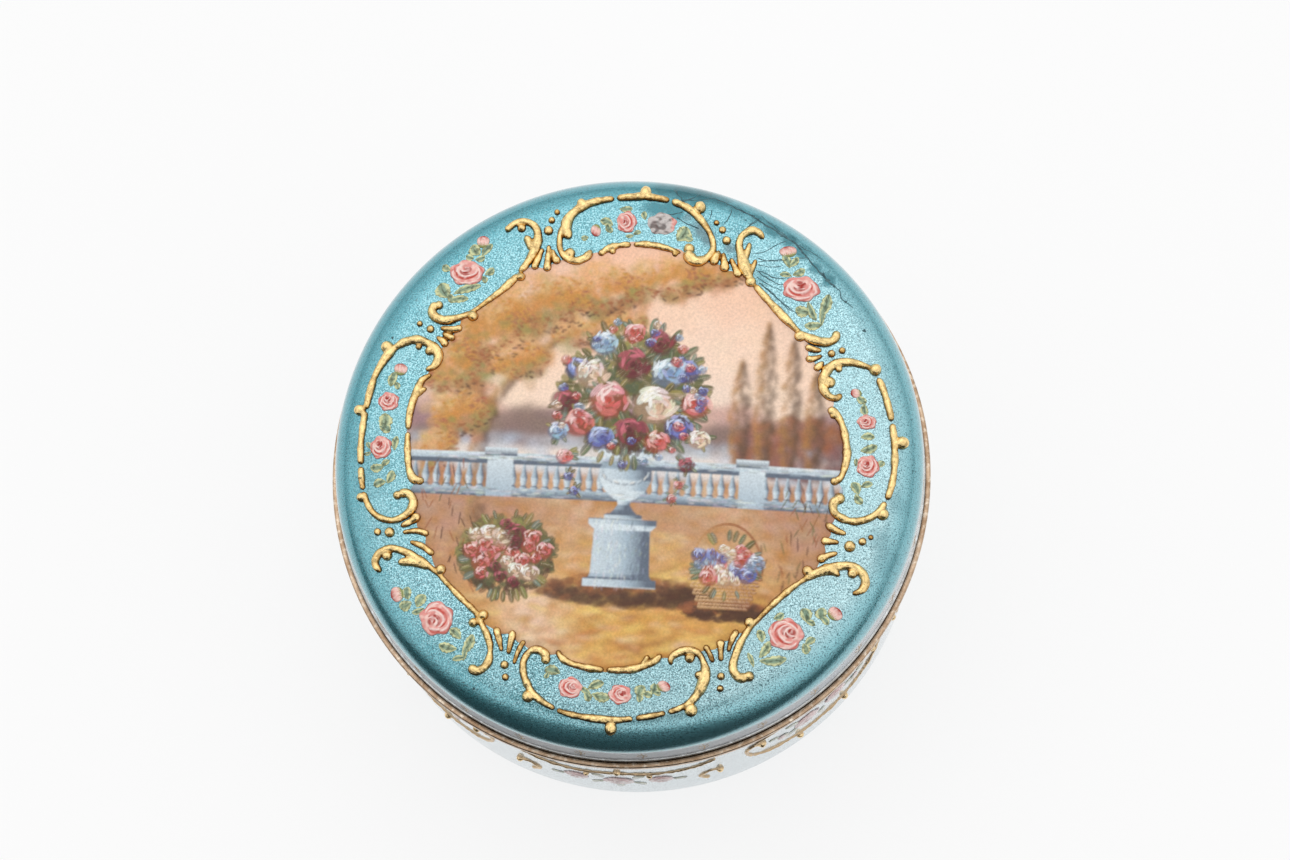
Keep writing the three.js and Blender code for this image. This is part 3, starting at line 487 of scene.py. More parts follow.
def lid_skin(depth, rings=24, steps=16):
    """The lid's surface at a depth under the outer one, from the lower edge to the top's middle."""
    size = SHOULDER - depth
    dome = DOME_RADIUS - depth
    wall = [(SHOULDER_RING + size, height) for height in np.linspace(LID_BOTTOM, SHOULDER_HEIGHT, 5)]
    bend = arc(SHOULDER_RING, SHOULDER_HEIGHT, size, 0, math.pi / 2 - DOME_TILT, steps)[1:]
    top = [(dome * math.sin(a), DOME_CENTRE + dome * math.cos(a)) for a in np.linspace(DOME_TILT, 0, rings)]
    return [*wall, *bend, *top[1:]]


def on_lid(x, y, up):
    """Places flat points on the lid's top, lifted along its normal."""
    x, y, up = np.broadcast_arrays(*(np.asarray(v, float) for v in (x, y, up)))
    radius = np.maximum(np.hypot(x, y), 1e-9)
    rise = np.sqrt(np.maximum(DOME_RADIUS ** 2 - radius ** 2, 0))
    slope = unit((radius - SHOULDER_RING) / SHOULDER)
    bent = radius > DOME_EDGE
    height = np.where(bent, SHOULDER_HEIGHT + SHOULDER * np.sqrt(1 - slope ** 2), DOME_CENTRE + rise)
    lean = np.where(bent, slope, radius / DOME_RADIUS)
    out = lean * up / radius
    return np.stack([x + x * out, y + y * out, height + up * np.sqrt(1 - lean ** 2)], -1)


def on_wall(wall_radius, bottom, middle=0.0):
    """A placer for flat points on an upright wall, about a middle angle."""
    def place(x, y, up):
        angle = middle + np.asarray(x, float) / wall_radius
        radius = wall_radius + np.asarray(up, float)
        return np.stack([radius * np.cos(angle), radius * np.sin(angle), bottom + y + 0 * radius], -1)
    return place


# Nodes

def node(tree, kind, inputs=(), **settings):
    """Adds a shader node. An input is a number, a colour or another node's socket."""
    made = tree.nodes.new("ShaderNode" + kind)
    for key, value in settings.items():
        setattr(made, key, value)
    for key, value in dict(inputs).items():
        if isinstance(value, bpy.types.NodeSocket):
            tree.links.new(value, made.inputs[key])
        else:
            made.inputs[key].default_value = value
    return made


def new_material(name, **values):
    """A material and its shader, with plain values such as Coat_Weight=1."""
    made = bpy.data.materials.new(name)
    made.use_nodes = True
    shader = made.node_tree.nodes["Principled BSDF"]
    for key, value in values.items():
        shader.inputs[key.replace("_", " ")].default_value = value
    return made, made.node_tree, shader


def ramp(tree, factor, stops):
    """A colour ramp with stops of (place, colour)."""
    made = node(tree, "ValToRGB", {"Fac": factor})
    elements = made.color_ramp.elements
    while len(elements) < len(stops):
        elements.new(0.5)
    for element, (place, colour) in zip(elements, stops):
        element.position = place
        element.color = (*colour, 1)
    return made.outputs["Color"]


def spread(tree, value, low, high, to_low=0.0, to_high=1.0):
    """The value's span from low to high, stretched over another span."""
    return node(tree, "MapRange", {
        "Value": value, "From Min": low, "From Max": high, "To Min": to_low, "To Max": to_high,
    }).outputs["Result"]


def mix(tree, factor, a, b):
    """Colour a with a share of colour b over it."""
    made = node(tree, "Mix", data_type="RGBA", blend_type="MIX")
    for socket, value in zip((made.inputs[0], made.inputs[6], made.inputs[7]), (factor, a, b)):
        if isinstance(value, bpy.types.NodeSocket):
            tree.links.new(value, socket)
        elif isinstance(value, (int, float)):
            socket.default_value = value
        else:
            socket.default_value = (*value, 1)
    return made.outputs[2]


def times(tree, a, b, operation="MULTIPLY"):
    """Two values made one."""
    return node(tree, "Math", {0: a, 1: b}, operation=operation).outputs[0]


def both(tree, a, b, operation="MULTIPLY", result="Vector"):
    """Two vectors made one."""
    return node(tree, "VectorMath", {0: a, 1: b}, operation=operation).outputs[result]


def toward(tree, place, way):
    """How far a place lies in a direction."""
    return both(tree, place, way, "DOT_PRODUCT", "Value")


def object_place(tree):
    """The object's own coordinates, in metres."""
    return node(tree, "TexCoord").outputs["Object"]


def noise(tree, scale, detail=2.0, rough=0.5):
    return node(tree, "TexNoise", {
        "Vector": object_place(tree), "Scale": scale, "Detail": detail, "Roughness": rough,
    }).outputs["Fac"]


def speckle(tree, scale, detail, rough, *limits):
    """Noise whose values between two limits are spread out, by default from 0 to 1."""
    return spread(tree, noise(tree, scale, detail, rough), *limits)


def bump(tree, shader, height, distance, strength=1.0, coat=False):
    made = node(tree, "Bump", {"Height": height, "Distance": distance, "Strength": strength})
    tree.links.new(made.outputs["Normal"], shader.inputs["Coat Normal" if coat else "Normal"])


def colour_of(tree, shader, colour):
    tree.links.new(colour, shader.inputs["Base Color"])


def attribute(tree, name):
    return node(tree, "Attribute", attribute_name=name)


# Raised gold

GAP_WIDTH = 0.45  # a stroke's inner width up to this is a break
GAP = 0.1  # left open on each side of a break
SWELL = 1.26  # the strokes are fuller than their middle lines were drawn
GOLD_HEIGHT = 0.62  # height of a stroke as a share of its width
BEAD_HEIGHT = 0.55  # height of a bead as a share of its diameter
GOLD_SINK = 0.2  # how deep it reaches into the enamel
VOXEL = 0.09
LUMP_SCALE = 1.9  # lumps to a millimetre
LUMP_HEIGHT = 0.075
FULL_RISE = 0.6  # the height at which the gold's painted highlight is brightest
GAP_END_WIDTH = 0.62  # width of the two ends at a break
THINNEST = 0.42
WIDTH_WOBBLE = 0.13
HEIGHT_WOBBLE = 0.14
SKIN_POINTS = 11  # across the round back of a stroke

chance = np.random.default_rng(20)


def sampled(points, step=0.14):
    """A smooth line through the points, with its places at about even steps."""
    p = np.asarray(points, float)
    padded = np.vstack([2 * p[0] - p[1], p, 2 * p[-1] - p[-2]])
    t = np.linspace(0, 1, 24, endpoint=False)[:, None]
    dense = []
    for a, b, c, d in zip(padded, padded[1:], padded[2:], padded[3:]):
        bend = (2 * a - 5 * b + 4 * c - d) * t ** 2 + (3 * b - a - 3 * c + d) * t ** 3
        dense.append(0.5 * (2 * b + (c - a) * t + bend))
    dense = np.vstack([*dense, p[-1:]])
    along = np.r_[0, np.cumsum(np.hypot(*np.diff(dense[:, :2], axis=0).T))]
    even = np.linspace(0, along[-1], max(int(along[-1] / step), 4) + 1)
    line = np.stack([np.interp(even, along, dense[:, k]) for k in range(p.shape[1])], 1)
    return line, even


def heading(line):
    """The unit direction along a flat line at each of its points."""
    way = np.gradient(line[:, :2], axis=0)
    return way / np.maximum(np.hypot(*way.T), 1e-9)[:, None]


def wobble(along, amount, step=0.7):
    """Smooth uneven values about 1."""
    places = np.arange(0, along[-1] + 2 * step, step)
    return 1 + amount * np.interp(along, places, chance.uniform(-1, 1, len(places)))


def runs(stroke):
    """Splits a stroke at its breaks."""
    found, run = [], []
    for i, (x, y, width) in enumerate(stroke):
        if width <= GAP_WIDTH and 0 < i < len(stroke) - 1:
            found.append([*run, (x, y, GAP_END_WIDTH)])
            run = [(x, y, GAP_END_WIDTH)]
        else:
            run.append((x, y, width))
    return [*found, run]


def stroke_body(run, cut_start, cut_end, slim):
    """Points and faces of one closed half-round stroke with blunt round ends."""
    line, along = sampled(run)
    keep = (along >= GAP * cut_start) & (along <= along[-1] - GAP * cut_end)
    line, along = line[keep], along[keep] - along[keep][0]
    width = slim * SWELL * np.maximum(line[:, 2], THINNEST) * wobble(along, WIDTH_WOBBLE)
    for distance in (along, along[-1] - along):
        reach = unit(distance / (0.55 * width))
        width = width * np.sqrt(np.maximum(1 - (1 - reach) ** 2, 0.01))
    height = slim * GOLD_HEIGHT * np.maximum(width, 0.3) ** 0.8 * wobble(along, HEIGHT_WOBBLE)
    way = heading(line)
    turn = np.linspace(0, math.pi, SKIN_POINTS)
    across = np.r_[np.cos(turn) * 0.5, -0.5, 0.5]
    up = np.r_[np.sin(turn) ** 0.9, 0, 0]
    down = np.r_[np.zeros(SKIN_POINTS), 1, 1]
    x = line[:, 0, None] - way[:, 1, None] * across * width[:, None]
    y = line[:, 1, None] + way[:, 0, None] * across * width[:, None]
    z = up * height[:, None] - down * GOLD_SINK
    count, sides = x.shape
    faces = [tuple(range(sides)), tuple((count - 1) * sides + k for k in reversed(range(sides)))]
    for i in range(count - 1):
        for k in range(sides):
            n = (k + 1) % sides
            faces.append((i * sides + k, (i + 1) * sides + k, (i + 1) * sides + n, i * sides + n))
    return np.stack([x, y, z], -1).reshape(-1, 3), faces


def bead_body(x, y, diameter):
    """Points and faces of one bead."""
    size = diameter / 2 * chance.uniform(0.94, 1.06)
    rings, sides = 9, 18
    tilt = np.linspace(0, math.pi, rings + 1)[1:-1, None]
    angle = np.arange(sides) * 2 * math.pi / sides
    ring_x = size * np.sin(tilt) * np.cos(angle)
    ring_y = size * np.sin(tilt) * np.sin(angle)
    lift = np.where(np.cos(tilt) > 0, BEAD_HEIGHT * diameter, GOLD_SINK)
    ring_z = np.cos(tilt) * lift + 0 * angle
    points = np.stack([x + ring_x, y + ring_y, ring_z], -1).reshape(-1, 3)
    points = np.vstack([points, [x, y, BEAD_HEIGHT * diameter], [x, y, -GOLD_SINK]])
    top, bottom = len(points) - 2, len(points) - 1
    faces = []
    for k in range(sides):
        n = (k + 1) % sides
        faces.append((top, k, n))
        faces.append((bottom, (rings - 2) * sides + n, (rings - 2) * sides + k))
        for i in range(rings - 2):
            a, b = i * sides, (i + 1) * sides
            faces.append((a + k, b + k, b + n, a + n))
    return points, faces


def fused(bodies):
    """Melts bodies, given in millimetres, into one skin."""
    points, faces = stacked(bodies)
    data = bpy.data.meshes.new("melt")
    data.from_pydata(points.tolist(), [], faces)
    melt = add_object("melt", data)
    remesh = melt.modifiers.new("skin", "REMESH")
    remesh.mode = "VOXEL"
    remesh.voxel_size = VOXEL
    smooth = melt.modifiers.new("soft", "SMOOTH")
    smooth.factor = 0.5
    smooth.iterations = 3
    skin = melt.evaluated_get(bpy.context.evaluated_depsgraph_get()).to_mesh()
    points, faces = points_of(skin), [tuple(face.vertices) for face in skin.polygons]
    bpy.data.objects.remove(melt)
    bpy.data.meshes.remove(data)
    return points, faces


def goldwork(name, body, strokes, beads, place, slim=1.0, replaced=None):
    """Raised gold of strokes and beads, melted together and made a little lumpy."""
    bodies = []
    for stroke in strokes:
        parts = runs(stroke)
        for i, run in enumerate(parts):
            bodies.append(stroke_body(run, i > 0, i < len(parts) - 1, slim))
    for x, y, diameter in beads:
        bodies.append(bead_body(x, y, diameter * slim ** 0.5))
    points, faces = fused(bodies)
    up = points[:, 2]
    lumps = np.array([noise_3d(Vector(p)) for p in points * LUMP_SCALE])
    up = up + LUMP_HEIGHT * lumps * unit(up / 0.2)
    piece = make_mesh(f"{name}_relief", place(points[:, 0], points[:, 1], up), faces)
    # height, which the gold's colour turns into painted shade at the feet and a painted highlight on top
    note_points(piece, "rise", unit(up / (FULL_RISE * slim)))
    settle(piece, body, raised_gold if body == "lid" else wall_gold, replaced)


# Materials

TO_FRONT = (0.25, -0.97, 0)
TO_BACK = (-0.5, 0.87, 0)
TO_RIGHT = (0.93, -0.36, 0)
FLAT = (1, 1, 0)
DRIFT = 0.0022  # how far the stains' edges wander
DRIFT_SHIFT = 1.1  # millimetres, the middle of that wandering


def turquoise(name, stains=(), pale=0.0):
    """Translucent enamel over grained foil, under a clear coat."""
    material, tree, shader = new_material(
        name, Metallic=0.82, Roughness=0.25, Coat_Weight=1.0, Coat_Roughness=0.03, Coat_IOR=1.6,
    )
    grain = noise(tree, 5200, 2, 0.62)
    colour = ramp(tree, grain, [
        (0.36, (0.012, 0.09, 0.11)), (0.45, (0.085, 0.295, 0.345)), (0.52, (0.215, 0.53, 0.595)),
        (0.6, (0.55, 0.88, 0.94)),
    ])
    clouds = speckle(tree, 170, 3, 0.55, 0.36, 0.66)
    cloudy = mix(tree, 0.3, colour, (0.44, 0.72, 0.78))
    colour = mix(tree, clouds, colour, cloudy)
    streak = speckle(tree, 60, 2, 0.5, 0.42, 0.62, 0.0, 0.25)
    colour = mix(tree, streak, colour, (0.08, 0.35, 0.41))
    # painted reflection: a pale share washes the enamel towards pale grey-blue, as mirroring the white floor
    if pale:
        colour = mix(tree, pale, colour, (0.82, 0.88, 0.93))
    # only the lid's enamel gets the stains and, with them, the painted sheen and painted shade below
    if stains:
        place = object_place(tree)
        flat = both(tree, place, FLAT)
        radius = node(tree, "VectorMath", {0: flat}, operation="LENGTH").outputs["Value"]
        right, back = toward(tree, place, TO_RIGHT), toward(tree, place, TO_BACK)
        # painted sheen: the right side of the lid paled towards grey-cyan
        colour = mix(tree, spread(tree, right, 0.0, 0.032, 0.0, 0.45), colour, (0.64, 0.83, 0.85))
        # painted shade: the shoulder's outer ring darkened
        colour = mix(tree, spread(tree, radius, 0.0325, 0.0352, 0.0, 0.75), colour, (0.12, 0.46, 0.535))
        # painted shade: darker towards the back
        colour = mix(tree, spread(tree, back, -0.004, 0.03, 0.0, 0.34), colour, (0.11, 0.42, 0.49))
        # painted shade: deepest on the shoulder at the back
        painted_back_shade = times(tree, spread(tree, radius, 0.0305, 0.0345), spread(tree, back, 0.0, 0.03, 0.0, 0.5))
        colour = mix(tree, painted_back_shade, colour, (0.04, 0.33, 0.41))
        drift = node(tree, "TexNoise", {"Vector": place, "Scale": 420, "Detail": 3}).outputs["Color"]
        drift = both(tree, drift, (DRIFT, DRIFT, 0))
        place = both(tree, place, drift, "ADD")
        for x, y, reach, strength, tone in stains:
            middle = Vector((x + DRIFT_SHIFT, y + DRIFT_SHIFT, on_lid(x, y, 0)[2])) * MM
            away = both(tree, place, middle, "DISTANCE", "Value")
            share = spread(tree, away, reach * MM * 0.55, reach * MM * 1.25, strength, 0.0)
            colour = mix(tree, share, colour, tone)
    dots = speckle(tree, 6400, 1, 0.5, 0.56, 0.65, 0.0, 0.95)
    front = toward(tree, object_place(tree), TO_FRONT)
    dots = times(tree, dots, spread(tree, front, -0.02, 0.03, 0.6, 1.0))
    colour = mix(tree, dots, colour, (0.01, 0.1, 0.125))
    pits = speckle(tree, 1500, 2, 0.5, 0.7, 0.76)
    colour = mix(tree, times(tree, pits, 0.6), colour, (0.05, 0.16, 0.18))
    colour_of(tree, shader, colour)
    bump(tree, shader, noise(tree, 3600, 2, 0.6), 0.00006, 0.55)
    bump(tree, shader, noise(tree, 240, 2, 0.5), 0.00009, 0.35, coat=True)
    return material


def two_tone(name, clouds, tones, relief, specks=None, **values):
    """A surface that drifts between two tones, with specks of a third one where they are given."""
    material, tree, shader = new_material(name, **values)
    colour = mix(tree, speckle(tree, *clouds, 0.35, 0.65), *tones)
    if specks:
        shares, tone = specks
        colour = mix(tree, speckle(tree, *shares, 0.0, 0.5), colour, tone)
    colour_of(tree, shader, colour)
    *grain, depth, strength = relief
    bump(tree, shader, noise(tree, *grain), depth, strength)
    return material


def gilding(name, base, dark, bright, scale, rough):
    """Worn satin gilding with scratches and dark stains, and dirt with painted shade where a piece gives it.
    """
    material, tree, shader = new_material(name, Metallic=1.0, Roughness=rough)
    stains = speckle(tree, scale, 5, 0.62, 0.36, 0.64)
    colour = mix(tree, stains, dark, base)
    shine = speckle(tree, scale * 3.1, 3, 0.5, 0.52, 0.72)
    colour = mix(tree, shine, colour, bright)
    dirt_and_shade = attribute(tree, "dirt_and_shade").outputs["Fac"]
    colour_of(tree, shader, mix(tree, dirt_and_shade, colour, (0.012, 0.011, 0.01)))
    polish = speckle(tree, scale * 1.7, 4, 0.6, 0.3, 0.7, rough + 0.1, rough - 0.08)
    tree.links.new(polish, shader.inputs["Roughness"])
    bump(tree, shader, noise(tree, 1900, 4, 0.6), 0.00003, 0.6)
    return material


def gold_paste(name, rubbed=0.0):
    """Raised gilding: painted highlight on the strokes' backs, painted shade in the creases and at the
    front.
    """
    material, tree, shader = new_material(name, Metallic=1.0, Roughness=0.24)
    rise = attribute(tree, "rise").outputs["Fac"]
    uneven = speckle(tree, 1500, 3, 0.6, 0.3, 0.7, -0.16, 0.16)
    height = times(tree, rise, uneven, "ADD")
    # by height: painted shade at the strokes' feet, painted highlight on their backs
    colour = ramp(tree, height, [
        (0.06, (0.03, 0.012, 0.004)), (0.32, (0.165, 0.07, 0.02)), (0.54, (0.6, 0.345, 0.1)),
        (0.88, (0.97, 0.72, 0.33)),
    ])
    creases = speckle(tree, 900, 4, 0.62, 0.52, 0.62, 0.0, 0.4)
    colour = mix(tree, creases, colour, (0.23, 0.105, 0.028))
    # painted shade: the fronts of the strokes and beads darkened
    front = spread(tree, toward(tree, object_place(tree), TO_FRONT), 0.016, 0.032, 0.0, 0.85)
    front_painted_shade = times(tree, front, spread(tree, height, 0.55, 0.92, 1.0, 0.0))
    colour = mix(tree, front_painted_shade, colour, (0.17, 0.078, 0.022))
    colour_of(tree, shader, mix(tree, rubbed, colour, (0.88, 0.68, 0.44)))
    polish = spread(tree, height, 0.0, 0.9, 0.42, 0.13)
    tree.links.new(polish, shader.inputs["Roughness"])
    bump(tree, shader, noise(tree, 1150, 4, 0.62), 0.00024, 0.7)
    return material


def painted(name, coat, rough=0.32):
    """Colours laid on point by point, under a clear flux."""
    material, tree, shader = new_material(
        name, Roughness=rough, Specular_IOR_Level=0.15, Coat_Weight=coat, Coat_Roughness=0.04,
    )
    colour = attribute(tree, "paint").outputs["Color"]
    grain = speckle(tree, 3000, 2, 0.6, 0.3, 0.7, 0.9, 1.1)
    colour_of(tree, shader, both(tree, colour, grain))
    bump(tree, shader, noise(tree, 1500, 3, 0.6), 0.00004, 0.5)
    return material


raised_gold = gold_paste("raised_gilding")
wall_gold = gold_paste("rubbed_raised_gilding", 0.6)
TEAL = (0.006, 0.16, 0.2)
SLATE = (0.065, 0.13, 0.15)
STAINS = (
    (2.0, 34.9, 1.6, 0.7, TEAL), (4.6, 34.6, 1.8, 0.95, TEAL), (7.2, 34.5, 1.9, 0.95, TEAL),
    (9.4, 33.8, 1.4, 0.7, TEAL), (1.4, 31.9, 1.5, 0.9, TEAL), (3.6, 31.6, 1.5, 0.9, TEAL),
    (6.4, 32.4, 1.3, 0.8, TEAL), (11.6, 32.7, 1.1, 0.5, TEAL), (14.2, 31.3, 1.0, 0.5, TEAL),
    (16.4, 30.0, 1.1, 0.75, TEAL), (18.4, 28.7, 1.1, 0.8, TEAL), (20.2, 27.2, 1.0, 0.75, TEAL),
    (21.9, 25.3, 0.9, 0.8, TEAL), (23.4, 23.8, 1.0, 0.85, TEAL), (15.2, 23.4, 1.2, 0.45, TEAL),
    (1.2, 29.9, 0.8, 0.75, SLATE), (5.6, 30.9, 0.7, 0.6, SLATE), (7.2, 29.5, 1.2, 0.8, SLATE),
    (-32.1, -1.3, 2.4, 0.35, TEAL), (-31.3, -5.1, 2.2, 0.35, TEAL), (-29.6, -10.4, 1.8, 0.25, TEAL),
    (31.4, -8.8, 1.7, 0.4, TEAL), (32.4, -11.5, 1.8, 0.3, TEAL), (33.6, -4.5, 1.5, 0.3, TEAL),
    (8.2, 28.2, 1.0, 0.8, SLATE), (10.9, 27.2, 0.9, 0.7, SLATE), (12.4, 26.0, 0.7, 0.5, SLATE),
)
lid_turquoise = turquoise("lid_turquoise", STAINS)
# the base's wall is washed pale by a painted reflection of the white floor
base_turquoise = turquoise("base_turquoise", pale=0.75)
gilt = gilding("gilt_rim", (0.64, 0.47, 0.33), (0.4, 0.26, 0.16), (0.86, 0.74, 0.6), 420, 0.24)
pale_gilt = gilding(
    "rubbed_gilt", (0.64, 0.65, 0.64), (0.46, 0.45, 0.43), (0.82, 0.84, 0.85), 500, 0.28)
copper = two_tone(
    "bare_copper", (150, 4, 0.6), ((0.3, 0.13, 0.075), (0.62, 0.3, 0.17)), (900, 3, 0.5, 0.00003, 0.5),
    Metallic=1.0, Roughness=0.42)
lining = two_tone(
    "counter_enamel", (90, 4, 0.55), ((0.66, 0.76, 0.74), (0.78, 0.84, 0.8)), (420, 3, 0.5, 0.00006, 0.4),
    ((1400, 2, 0.5, 0.72, 0.78), (0.16, 0.2, 0.19)), Roughness=0.22, Coat_Weight=0.6, Coat_Roughness=0.05)
# painted reflection: the lid's upright wall is coloured near-white, as mirroring the white floor
wall_painted_reflection = two_tone(
    "lid_wall_glaze", (110, 3, 0.55), ((0.87, 0.92, 0.97), (0.95, 0.97, 1.0)), (700, 3, 0.5, 0.00004, 0.5),
    ((3600, 2, 0.5, 0.6, 0.72), (0.38, 0.52, 0.58)), Roughness=0.6, Specular_IOR_Level=0.2,
    Coat_Weight=0.12, Coat_Roughness=0.1)
flower_paint = painted("flower_paint", 0.35)
wall_paint = painted("wall_flower_paint", 1.0)
stain = two_tone(
    "crack_stain", (1800, 2, 0.5), ((0.022, 0.07, 0.085), (0.08, 0.17, 0.19)), (3000, 2, 0.5, 0.00002, 0.5),
    Roughness=0.7)


# Turned pieces

def turned_piece(name, profile, body, material, replaced):
    """A turned piece that stands in for a CAD node."""
    made = turned(name, profile)
    settle(made, body, material, replaced)
    return made


METAL = ENAMEL + COPPER  # depth of the copper's inner side
ALL_LAYERS = METAL + LINING

turned_piece("base_enamel_skin", [*base_skin(0, 16), *reversed(base_skin(ENAMEL))],
             "base", base_turquoise, "base_enamel")
turned_piece("base_lining_skin", [*base_skin(METAL), *reversed(base_skin(ALL_LAYERS))],
             "base", lining, "base_lining")
lid_shell = turned_piece("lid_enamel_skin", [*reversed(lid_skin(ENAMEL)), *lid_skin(0, 40, 22)],
                         "lid", lid_turquoise, "lid_enamel")
lid_shell.data.materials.append(wall_painted_reflection)
# the lid's upright wall takes the pale painted reflection
for face in lid_shell.data.polygons:
    x, y, z = face.center / MM
    if z < SHOULDER_HEIGHT and math.hypot(x, y) > LID_RADIUS - 0.1:
        face.material_index = 1
turned_piece("lid_lining_skin", [*reversed(lid_skin(ALL_LAYERS)), *lid_skin(METAL)],
             "lid", lining, "lid_lining")

rim_inner = BASE_RADIUS - ENAMEL - COPPER - LINING
GROOVE = 0.24  # dark ledge under the lid's edge, darkened with dirt and painted shade
BEAD_EDGE = RIM_RADIUS - 0.72
base_rim_ring = turned_piece("base_rim_ring", rounded([
    [rim_inner, RIM_BOTTOM], [RIM_RADIUS, RIM_BOTTOM], [RIM_RADIUS, RIM_TOP], [BEAD_EDGE, RIM_TOP],
    [BEAD_EDGE - 0.1, RIM_TOP - GROOVE], [rim_inner, RIM_TOP - GROOVE],
], 0.3, 6), "base", gilt, "base_rim")
# dirt and painted shade: the groove and the ledge within it darkened nearly to black
ring = points_of(base_rim_ring.data) / MM
ring_radius = np.hypot(ring[:, 0], ring[:, 1])
groove_dirt_and_shade = unit((BEAD_EDGE + 0.06 - ring_radius) / 0.12)
groove_dirt_and_shade = np.maximum(groove_dirt_and_shade, 0.5 * unit((BEAD_EDGE + 0.28 - ring_radius) / 0.08))
groove_dirt_and_shade *= ring[:, 2] > RIM_BOTTOM + 0.05
note_points(base_rim_ring, "dirt_and_shade", groove_dirt_and_shade)

LID_RIM_GAP = 0.25  # between the lid's rim and the collar
COLLAR_WALL = 0.6
for name, node_name, body, material, inner, (outer, low, high) in (
    ("lid_rim_ring", "lid_rim", "lid", pale_gilt, COLLAR[0] + LID_RIM_GAP, LID_RIM),
    ("collar_ring", "fitting_collar", "base", gilt, COLLAR[0] - COLLAR_WALL, COLLAR),
):
    section = rounded([[inner, low], [outer, low], [outer, high], [inner, high]], 0.2, 4)
    turned_piece(name, section, body, material, node_name)
for name in ("base_copper_shell", "lid_copper_shell"):
    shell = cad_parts[name]
    shell.data.materials.clear()
    shell.data.materials.append(copper)


# Painted flowers, in low relief

def disc_grid(rings, sectors):
    """Radius and angle of the points of a round patch, and its faces."""
    radius = np.repeat(np.arange(1, rings + 1) / rings, sectors)
    angle = np.tile(np.arange(sectors) * 2 * math.pi / sectors, rings)
    faces = []
    for k in range(sectors):
        n = (k + 1) % sectors
        faces.append((0, 1 + k, 1 + n))
        for i in range(rings - 1):
            a, b = 1 + i * sectors, 1 + (i + 1) * sectors
            faces.append((a + k, b + k, b + n, a + n))
    return np.r_[0, radius], np.r_[0, angle], faces


def mixed(a, b, share):
    return np.asarray(a) * (1 - share) + np.asarray(b) * share


def blend_colour(share, a, b):
    """Colour a with a share of colour b at each point."""
    return mixed(a, b, unit(share)[:, None])


def smooth_step(value, low, high):
    t = unit((value - low) / (high - low))
    return t * t * (3 - 2 * t)


def turned_to(across, along, turn):
    """Distances along a direction and to its left."""
    ahead = across * math.cos(turn) + along * math.sin(turn)
    return ahead, -across * math.sin(turn) + along * math.cos(turn)


PAINT = 0.03  # thickness of the flat paint
ROSE_DOME = 0.24
BUD_DOME = 0.2
LEAF_RISE = 0.11

ROSE_RED = (0.4, 0.03, 0.018)
ROSE_DEEP = (0.6, 0.06, 0.036)
ROSE_PINK = (0.8, 0.31, 0.275)
ROSE_PALE = (0.93, 0.59, 0.52)
ROSE_SHADE = (0.13, 0.12, 0.13)
LEAF_PALE = (0.76, 0.78, 0.43)
LEAF_DARK = (0.055, 0.075, 0.04)


def crescent(inward, sideways, place, size, open_angle, phase):
    """How much of a petal's painted edge covers each point: an uneven arc about a place."""
    dx, dy = inward - place[0], sideways - place[1]
    around = np.arctan2(dy, dx) - phase
    around = (around + math.pi) % (2 * math.pi) - math.pi
    away = np.abs(np.hypot(dx, dy) - size * (1 + 0.05 * np.sin(3 * around + phase)))
    thick = 0.1 * unit(1 - (np.abs(around) / open_angle) ** 2)
    return unit(1.5 - away / np.maximum(thick, 1e-4)) * (thick > 0.004)


def streaks(along, across, seed):
    """Uneven paint, as noise between -1 and 1."""
    return np.array([noise_3d(Vector((u, v, seed))) for u, v in zip(along, across)])


# Painted edges of a rose's petals: middle (towards the heart, sideways), size, how far round, way, red
PETALS = (
    (-0.08, 0.0, 0.84, 0.75, math.pi, 0.7), (-0.06, 0.34, 0.6, 1.1, 1.75, 0.8),
    (-0.06, -0.34, 0.6, 1.1, -1.75, 0.8), (0.14, 0.0, 0.62, 1.9, math.pi, 0.95),
    (0.16, 0.1, 0.6, 0.7, 0.9, 0.8), (0.26, -0.05, 0.42, 1.0, 2.4, 0.8),
    (0.32, 0.04, 0.3, 1.3, math.pi + 0.5, 1.0), (0.4, 0.0, 0.17, 1.6, math.pi, 1.0),
)


